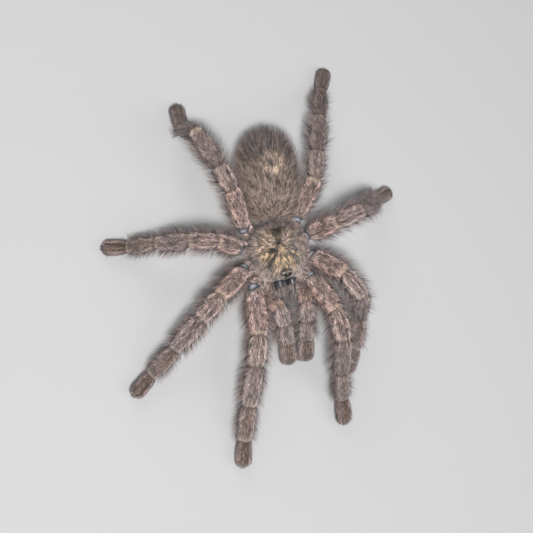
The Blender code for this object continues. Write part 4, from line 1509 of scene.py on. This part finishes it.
@dataclass
class Coat:
    """Solid hairs of every kind over all the hides."""

    workshop: Workshop
    hides: list
    root_depth: float = 0.12            # how far under the skin a hair starts
    thinning: float = 0.8               # how much narrower a hair is at its tip
    wave_turn: float = 8.0              # swing of the lie in waves over the hide, degrees
    wave_size: float = 5.0
    lock_turn: float = 14.0             # swing of the lie from lock to lock, degrees
    streak_size: tuple = (2.4, 0.95)    # along and across the lie
    patch_length: float = 0.0027        # of a hair on the bake map
    patch_half_width: float = 0.0015

    def roots(self, strand: Strand, rng: np.random.Generator) -> dict:
        """Roots of one kind of hair over all the hides, in random order.

        Args:
            strand: The kind of hair.
            rng: Source of random numbers.

        Returns:
            The arrays that scatter gives.
        """
        weights = np.array([hide.cell_weights(strand).sum() for hide in self.hides])
        shares = np.floor(weights / weights.sum() * strand.count).astype(int)
        spread = [hide.scatter(strand, share, rng)
                  for hide, share in zip(self.hides, shares) if share > 0]
        order = rng.permutation(int(shares.sum()))
        return {key: np.concatenate([part[key] for part in spread])[order] for key in spread[0]}

    def locks(self, strand: Strand, roots: dict) -> dict:
        """Which lock each hair belongs to.

        Locks are cells of a lattice along and round the hide, each row of which is
        shifted by a random part of a cell.

        Args:
            strand: The kind of hair.
            roots: Roots as arrays.

        Returns:
            Each hair's distance from its lock's middle, in lock widths, and three random
            numbers that the lock's hairs share.
        """
        long, wide = strand.lock
        row = np.floor(roots["travel"] / long)
        table = np.random.default_rng(5).random((4, 4096))
        place = roots["around"] / wide + table[3][row.astype(int) % 4096]
        column = np.floor(place)
        number = (row * 193.0 + column * 71.0).astype(int) % 4096
        return {"off": place - column - 0.5, "shade": table[0][number],
                "turn": table[1][number], "lift": table[2][number]}

    def hairs(self, strand: Strand, roots: dict, rng: np.random.Generator) -> tuple:
        """Corners of three-sided spikes.

        A hair's axis starts between its lie and its normal, by the lift, and its tip is
        carried on along the lie with the square of the way along. Its width tapers in a
        straight line to the tip. Its heading turns towards the middle of its lock.

        Args:
            strand: The kind of hair.
            roots: Roots as arrays.
            rng: Source of random numbers.

        Returns:
            Corners as hair, corner, XYZ; each corner's share of the way to the tip; and
            each hair's shade.
        """
        count = len(roots["root"])
        root, normal, lie = roots["root"], roots["normal"], roots["lie"]
        lock = self.locks(strand, roots)
        across = np.cross(normal, lie) * roots["handed"][:, None]
        length = rng.uniform(*strand.length, count) * roots["reach"]
        closing = np.arctan(lock["off"] * strand.lock[1] * strand.gather / length)
        wave = (self.wave_turn * ripple(root, self.wave_size, 71)
                + self.lock_turn * (lock["turn"] - 0.5))
        turn = (np.radians(rng.normal(0.0, strand.stray, count) + wave) - closing)[:, None]
        heading = lie * np.cos(turn) + across * np.sin(turn)
        rise = np.clip(lock["lift"] * 0.6 + rng.random(count) * 0.4, 0.0, 1.0)
        low, high = strand.lift
        lift = np.radians(low + (high - low) * rise)[:, None]
        direction = heading * np.cos(lift) + normal * np.sin(lift)
        length = length[:, None]
        side = unit(np.cross(direction, normal + 0.01 * lie))
        top = np.cross(side, direction)
        stations = np.arange(strand.bends + 1) / (strand.bends + 1)
        way = stations[None, :, None, None]
        start, outward, ahead, along, reach, side, top = (
            part[:, None, None, :] for part in (root, normal, direction, lie, length, side, top))
        axis = (start - self.root_depth * outward
                + reach * (ahead * way + strand.lean * along * way ** 2))
        corner_angles = np.radians([90.0, 210.0, 330.0])[None, None, :, None]
        size = strand.width / 2.0 * rng.uniform(0.75, 1.25, count)[:, None, None, None]
        offset = np.cos(corner_angles) * side + np.sin(corner_angles) * top
        body = (axis + size * (1.0 - self.thinning * way) * offset).reshape(count, -1, 3)
        tip = root + length * (direction + strand.lean * lie)
        corners = np.concatenate([body, tip[:, None, :]], axis=1)
        corners[..., 2] = np.maximum(corners[..., 2], FLOOR_GAP)
        shade = self.shade(roots, lock, rng.normal(0.0, 0.22, count))
        return corners, np.append(np.repeat(stations, 3), 1.0), shade

    def shade(self, roots: dict, lock: dict, own: Array) -> Array:
        """Each hair's shade from 0 to 1, and mostly low.

        It is darker to the edges of its lock, painted shade in the gaps between locks,
        and varies from lock to lock, in streaks along the lie, in broad waves and from
        hair to hair.

        Args:
            roots: Roots as arrays.
            lock: Their locks, from locks.
            own: Difference from hair to hair.

        Returns:
            One shade for each hair.
        """
        # Painted shade: hairs darken towards the edges of their lock, where the gaps are.
        edge = np.abs(lock["off"]) * 2.0
        long, wide = self.streak_size
        streak = mottle(roots["travel"] / long, roots["around"] / wide, 74) - 0.5
        even = np.clip(0.72 - 0.5 * edge ** 1.4 + 0.9 * (lock["shade"] - 0.5) + 0.65 * streak
                       + 0.08 * ripple(roots["root"], 4.0, 73) + own, 0.0, 1.0)
        return np.minimum(1.25 * even ** 1.5, 1.0)

    def faces(self, bends: int, count: int) -> list:
        """Quads between rings of three, three triangles to the tip and one over the root.

        Args:
            bends: Joints between root and tip.
            count: How many hairs.

        Returns:
            Corner numbers of the triangles, then of the quads if there are any.
        """
        last = bends * 3
        offsets = (np.arange(count) * (last + 4))[:, None, None]
        quads = [[ring + side, ring + (side + 1) % 3, ring + 3 + (side + 1) % 3, ring + 3 + side]
                 for ring in range(0, last, 3) for side in range(3)]
        triangles = [[last + side, last + (side + 1) % 3, last + 3] for side in range(3)]
        triangles.append([2, 1, 0])
        made = [(np.array(triangles)[None] + offsets).reshape(-1, 3)]
        if quads:
            made.append((np.array(quads)[None] + offsets).reshape(-1, 4))
        return made

    def map_places(self, uv: Array, way: Array) -> Array:
        """Each hair's corners on the bake map: a patch 0.003 across round its root's place.

        Args:
            uv: Each root's place on the map.
            way: Each corner's share of the way to the tip.

        Returns:
            Places as hair, corner, UV.
        """
        across = (np.array([0.0, -1.0, 1.0] * (len(way) // 3) + [0.0])
                  * self.patch_half_width * (1.0 - 0.7 * way))
        along = -0.0012 + self.patch_length * way
        along[0] -= 0.0003
        return uv[:, None, :] + np.stack([across, along], axis=-1)[None]

    def build(self) -> None:
        """Grow every kind of hair and join it into its pieces."""
        for number, strand in enumerate(STRANDS):
            rng = np.random.default_rng(100 + number)
            roots = self.roots(strand, rng)
            corners, way, shade = self.hairs(strand, roots, rng)
            material = strand.finish.make()
            per_hair = corners.shape[1]
            batches = np.array_split(np.arange(len(corners)), strand.pieces)
            for index, batch in enumerate(batches):
                faces = self.faces(strand.bends, len(batch))
                places = self.map_places(roots["uv"][batch], way).reshape(-1, 2)
                uv = places[np.concatenate([part.ravel() for part in faces])]
                attributes = {mark.value: np.repeat(roots[mark.value][batch], per_hair)
                              for mark in Mark if mark is not Mark.BARE}
                attributes["tip"] = np.tile(way, len(batch))
                attributes["shade"] = np.repeat(shade[batch], per_hair)
                self.workshop.mesh(f"coat_{strand.name}_{index + 1}",
                                   corners[batch].reshape(-1, 3), faces, material, "coat", uv,
                                   attributes)


# ---------------------------------------------------------------- separate horn pieces

@dataclass(frozen=True)
class EyeHump:
    """The low hump that carries the eight eyes, and the eyes on it."""

    y: float = -7.5
    half_width: float = 2.15
    half_length: float = 1.65
    rise: float = 1.25
    tilt: float = 16.0
    lift: float = 0.2

    def axes(self) -> tuple:
        """Middle of the base, its axis along the body and the one away from it.

        Returns:
            A point and two unit vectors.
        """
        tilt = math.radians(self.tilt)
        along = np.array([0.0, math.cos(tilt), math.sin(tilt)])
        upward = np.array([0.0, -math.sin(tilt), math.cos(tilt)])
        return np.array([0.0, self.y, Carapace().top_z(self.y)]) + upward * self.lift, along, upward

    def point(self, x: float, y: float) -> tuple:
        """Point and outward normal of the dome over a place on its base.

        Args:
            x: Place across the base.
            y: Place along it.

        Returns:
            The point and the normal.
        """
        middle, along, upward = self.axes()
        across = np.array([1.0, 0.0, 0.0])
        u, v = x / self.half_width, y / self.half_length
        root = math.sqrt(1.0 - u * u - v * v)
        normal = across * u / self.half_width + along * v / self.half_length
        return (middle + across * x + along * y + upward * self.rise * root,
                unit(normal + upward * root / self.rise))

    def hide(self) -> Hide:
        """Half an ellipsoid, carried on below its base into the carapace.

        Returns:
            The hide, marked and dressed.
        """
        middle, along, upward = self.axes()
        angles = angles_round(64)[None, :, None]
        polar = np.radians(np.linspace(2.0, 118.0, 40))[:, None, None]
        flat = (np.cos(angles) * np.array([self.half_width, 0.0, 0.0])
                + np.sin(angles) * along * self.half_length)
        points = middle + np.sin(polar) * flat + np.cos(polar) * upward * self.rise
        unevenness = 0.03 * ripple(points, 0.9, 51)
        points = points + unevenness[..., None] * upward
        centre = bell(points[..., 0], 0.0, 0.5)
        hide = Hide(points, Plot(0.74, 0.985, 0.1, 0.012),
                    {Mark.GOLD: 0.6 * centre, Mark.DARK: 0.85 - 0.75 * centre, Mark.OLIVE: 1.0},
                    core=middle - upward, lie=-along)
        eyes_near = np.stack([bell(np.linalg.norm(points - self.point(side * x, y)[0], axis=-1),
                                   0.0, 0.5 + size * 0.6) for x, y, size, *_ in EYES
                              for side in SIDES.values()]).max(axis=0)
        off_eyes = np.clip(1.0 - 1.4 * eyes_near, 0.0, 1.0)
        hide.cover = {DOWN: 2.2 * off_eyes * (0.4 + 0.6 * np.sin(polar)[..., 0]),
                      GUARD: 0.5 * off_eyes}
        hide.reach = {DOWN: 0.34, GUARD: 0.3}
        return hide


# Each eye on the left half: X and Y on the hump, half width, half length, name, and whether
# it is dark rather than pearly.
EYES = (
    (0.80, -0.30, 0.56, 0.56, "front_middle", True),
    (1.42, -0.98, 0.30, 0.34, "front_side", False),
    (1.72, 0.30, 0.26, 0.42, "rear_side", False),
    (1.12, 0.72, 0.22, 0.24, "rear_middle", False),
)


@dataclass
class Horn:
    """The hard, hairless pieces: eye hump, eyes, fangs and claws."""

    workshop: Workshop
    level_with: tuple = (0.9, 0.1, 0.05)    # never along a spike, so its circles don't twist

    def shell(self, name: str, points: Array, material: Material, slot: str, replaces: tuple,
              core: Array | None = None) -> None:
        """Close a grid into a piece that stands for the given CAD nodes."""
        hide = Hide(points, Plot(0.02, 0.02, 0.96, 0.96), core=core)
        self.workshop.wrap(name, [hide], material, slot, replaces)

    def horn(self, name: str, line: Array, radii: Array, material: Material, slot: str,
             replaces: tuple) -> None:
        """A curved tapering spike: circles carried along a line.

        Args:
            name: The piece's name.
            line: Points from root to tip.
            radii: One radius for each point.
            material: Its finish.
            slot: The record's material slot.
            replaces: Names of CAD nodes.
        """
        angles, size = angles_round(24), radii[:, None]
        points = rings(line, frame_along(line, self.level_with), np.cos(angles) * size,
                       np.sin(angles) * size)
        points[..., 2] = np.maximum(points[..., 2], FLOOR_GAP)
        self.shell(name, points, material, slot, replaces)

    def build(self, feet: list) -> None:
        """Make the hump, the eyes, the fangs and two claws on each leg.

        Args:
            feet: The legs, whose last segments carry the claws.
        """
        hump = EyeHump()
        hump_finish = HornFinish("eye_hump_cuticle", "#171312", "#2a221c", 0.5, 0.5, 0.1).make()
        self.shell("eye_hump", hump.hide().points, hump_finish, "tubercle", ("eye_tubercle",),
                   hump.axes()[0] - hump.axes()[2])
        lens = HornFinish("dark_eye_lens", "#07070b", "#0d0d16", 0.12, 0.4, 0.6).make()
        pearl = HornFinish("pearly_eye_lens", "#b0aea8", "#85868d", 0.25, 0.25, 0.5).make()
        for x, y, wide, long, name, is_dark in EYES:
            for side_name, side in SIDES.items():
                self.eye(hump, f"eye_{name}_{side_name}", side * x, y, wide, long,
                         lens if is_dark else pearl, "dark_eye" if is_dark else "pearl_eye")
        black = HornFinish("fang_horn", "#120b0a", "#2b1512", 0.16, 0.8, 0.5).make()
        for side_name, side in SIDES.items():
            self.fang(f"fang_{side_name}", side, black)
        claw = HornFinish("claw_horn", "#1a1210", "#33221c", 0.25, 0.3, 0.3).make()
        for limb in feet:
            self.claws(limb, claw)

    def eye(self, hump: EyeHump, name: str, x: float, y: float, wide: float, long: float,
            material: Material, slot: str) -> None:
        """An ellipsoid lens set half its height into the hump.

        Args:
            hump: The hump that carries it.
            name: Its CAD node's name.
            x: Place across the hump.
            y: Place along the hump.
            wide: Half width.
            long: Half length.
            material: Its finish.
            slot: The record's material slot.
        """
        point, normal = hump.point(x, y)
        _, along, _ = hump.axes()
        across = unit(np.cross(along, normal))
        ahead = np.cross(normal, across)
        deep = 0.85 * min(wide, long)
        angles = angles_round(40)[None, :, None]
        polar = np.radians(np.linspace(1.5, 178.5, 30))[:, None, None]
        points = (point - normal * deep * 0.28
                  + np.sin(polar) * (np.cos(angles) * across * wide + np.sin(angles) * ahead * long)
                  + np.cos(polar) * normal * deep)
        self.shell(f"{name}_lens", points, material, slot, (name,), point - normal * deep * 0.28)

    def fang(self, name: str, side: float, material: Material) -> None:
        """A fang on an arc under the jaw: its radius falls faster towards the point.

        Args:
            name: Its CAD node's name.
            side: 1 on the animal's left, -1 on its right.
            material: Its finish.
        """
        bend = np.radians(np.linspace(-8.0, 138.0, 40))
        way = np.linspace(0.0, 1.0, 40)
        line = np.stack([side * (1.95 - 0.35 * way), -15.2 - 2.3 * np.cos(bend),
                         5.0 - 2.3 * np.sin(bend)], axis=1)
        radii = 0.66 * (1.0 - way ** 1.7) ** 0.8 + 0.03
        self.horn(f"{name}_spike", line, radii, material, "fang", (name,))

    def claws(self, limb: Limb, material: Material) -> None:
        """Two small hooks that curl down from under the tip of a foot.

        Args:
            limb: The leg.
            material: Their finish.
        """
        path = limb.axis()
        ahead = unit(path[-1] - path[-2])
        across = unit(np.cross(UP, ahead))
        for number, sideways in enumerate((-0.5, 0.5)):
            way = np.linspace(0.0, 1.0, 18)
            bend = np.radians(10.0 + 80.0 * way)
            root = path[-1] - ahead * 1.1 + across * sideways + np.array([0.0, 0.0, 0.25])
            line = (root + np.outer(np.sin(bend) * 1.15, ahead)
                    - np.outer((1.0 - np.cos(bend)) * 1.15, UP))
            radii = 0.17 * (1.0 - way ** 1.8) + 0.02
            self.horn(f"claw_{limb.name}_{number + 1}", line, radii, material, "fang", ())


# ---------------------------------------------------------------- whole animal and studio

@dataclass
class Animal:
    """All the pieces of the tarantula."""

    workshop: Workshop

    def build(self) -> None:
        """Make the skin, then the coat over it, then the hard pieces."""
        walking, plate, rear = legs(), Carapace(), Abdomen()
        hides = [limb.hide() for limb in (*walking, *palps())]
        hides += [plate.hide(), plate.trunk(), rear.hide(), rear.stalk(), *rear.spinnerets()]
        hides += [Chelicera(side).hide() for side in SIDES.values()]
        self.skin(hides)
        Coat(self.workshop, [*hides, EyeHump().hide()]).build()
        Horn(self.workshop).build(walking)

    def skin(self, hides: list) -> None:
        """Join every stretch of hide into one skin that stands for the nodes of flesh.

        Args:
            hides: The stretches of hide.
        """
        attributes = {mark.value: np.concatenate([hide.mark_values(mark) for hide in hides])
                      for mark in Mark}
        apart = ("eye_", "fang_")
        self.workshop.wrap("skin", hides, CuticleFinish().make(), "coat",
                           [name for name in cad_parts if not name.startswith(apart)],
                           attributes)


@dataclass(frozen=True)
class Studio:
    """Pale paper floor, soft lamps and the camera, which looks down on the animal's back."""

    lens: float = 53.3              # millimetres, on a sensor 36 wide
    distance: float = 288.0         # from the camera to the fovea's depth
    tilt: float = 16.0              # towards the animal's right
    roll: float = 12.0
    aim_right: float = 4.93         # how far the fovea lies right of the view's middle
    aim_down: float = -8.94         # and how far below it
    fovea: tuple = (0.0, 4.0, 15.5)
    floor_reach: float = 2.4        # metres from the middle to an edge
    floor_cells: int = 96
    sweep_start: float = 1.2        # metres from the middle
    sweep_rise: float = 1.5         # metres at the middle of an edge

    def build(self, workshop: Workshop) -> None:
        """Set up the floor, the lamps, the world and the camera.

        Args:
            workshop: Turns the body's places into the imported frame.
        """
        self.floor()
        self.lamp("key_lamp", (-0.24, -0.18, 0.87), 0.2, 11.4, "#fffcfa")
        self.lamp("fill_lamp", (0.6, -0.4, 0.65), 0.7, 3.0, "#f2f5ff")
        self.lamp("rim_lamp", (-0.1, 0.85, 0.45), 0.6, 3.5, "#ffffff")
        world = bpy.data.worlds.new("studio_air")
        world.use_nodes = True
        air = world.node_tree.nodes["Background"]
        air.inputs["Color"].default_value = linear("#dfe3e8")
        air.inputs["Strength"].default_value = 0.18
        bpy.context.scene.world = world
        bpy.context.scene.view_settings.view_transform = "Standard"
        self.camera(workshop)

    def floor(self) -> None:
        """A wide sheet of paper that lies level and sweeps up all round, far behind the lamps."""
        cells, points_across = self.floor_cells, self.floor_cells + 1
        steps = np.linspace(-self.floor_reach, self.floor_reach, points_across)
        x, y = np.meshgrid(steps, steps, indexing="ij")
        beyond = (np.hypot(x, y) - self.sweep_start) / (self.floor_reach - self.sweep_start)
        z = -0.00005 + self.sweep_rise * np.clip(beyond, 0.0, None) ** 2.2
        points = np.stack([x, y, z], axis=-1).reshape(-1, 3)
        first = np.arange(cells)[:, None] * points_across + np.arange(cells)[None, :]
        quads = np.stack([first, first + points_across, first + points_across + 1, first + 1],
                         axis=-1).reshape(-1, 4)
        mesh = bpy.data.meshes.new("floor")
        mesh.from_pydata(points.tolist(), [], quads.tolist())
        mesh.shade_smooth()
        mesh.materials.append(PaperFinish().make())
        piece = bpy.data.objects.new("floor", mesh)
        bpy.context.scene.collection.objects.link(piece)

    def lamp(self, name: str, place: tuple, size: float, power: float, colour: str) -> None:
        """A square soft box that faces the animal.

        Args:
            name: The lamp's name.
            place: Metres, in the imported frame.
            size: Width of the box, metres.
            power: Watts.
            colour: Hex code.
        """
        light = bpy.data.lights.new(name, "AREA")
        light.size = size
        light.energy = power
        light.color = linear(colour)[:3]
        lamp = bpy.data.objects.new(name, light)
        lamp.location = place
        back = unit(np.array(place))
        side = unit(np.cross(UP, back))
        self.turn(lamp, side, np.cross(back, side), back, np.array(place))
        bpy.context.scene.collection.objects.link(lamp)

    def turn(self, thing: bpy.types.Object, right: Array, top: Array, back: Array,
             place: Array) -> None:
        """Put an object at a place with the given axes, in metres.

        Args:
            thing: The object.
            right: Its X axis.
            top: Its Y axis.
            back: Its Z axis.
            place: Its place.
        """
        matrix = np.eye(4)
        matrix[:3, 0], matrix[:3, 1], matrix[:3, 2], matrix[:3, 3] = right, top, back, place
        thing.matrix_world = Matrix(matrix.tolist())

    def camera(self, workshop: Workshop) -> None:
        """Look down from above the animal's right, with its head towards the view's foot.

        Args:
            workshop: Turns the body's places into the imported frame.
        """
        tilt, roll = math.radians(self.tilt), math.radians(self.roll)
        ahead = np.array([math.sin(tilt), 0.0, -math.cos(tilt)])
        level = np.array([math.cos(tilt), 0.0, math.sin(tilt)])
        head = np.array([0.0, -1.0, 0.0])
        right = level * math.cos(roll) + head * math.sin(roll)
        down = head * math.cos(roll) - level * math.sin(roll)
        place = (np.array(self.fovea) - ahead * self.distance - right * self.aim_right
                 - down * self.aim_down)
        camera = bpy.data.cameras.new("camera")
        camera.lens = self.lens
        camera.sensor_width = 36.0
        camera.clip_start = 0.01
        viewer = bpy.data.objects.new("camera", camera)
        self.turn(viewer, right, -down, -ahead, workshop.place(place))
        bpy.context.scene.collection.objects.link(viewer)
        bpy.context.scene.camera = viewer


def main() -> None:
    """Build the animal and the studio."""
    logging.basicConfig(level=logging.INFO, format="%(name)s %(message)s")
    workshop = Workshop()
    Animal(workshop).build()
    Studio().build(workshop)


if __name__ == "__main__":
    main()
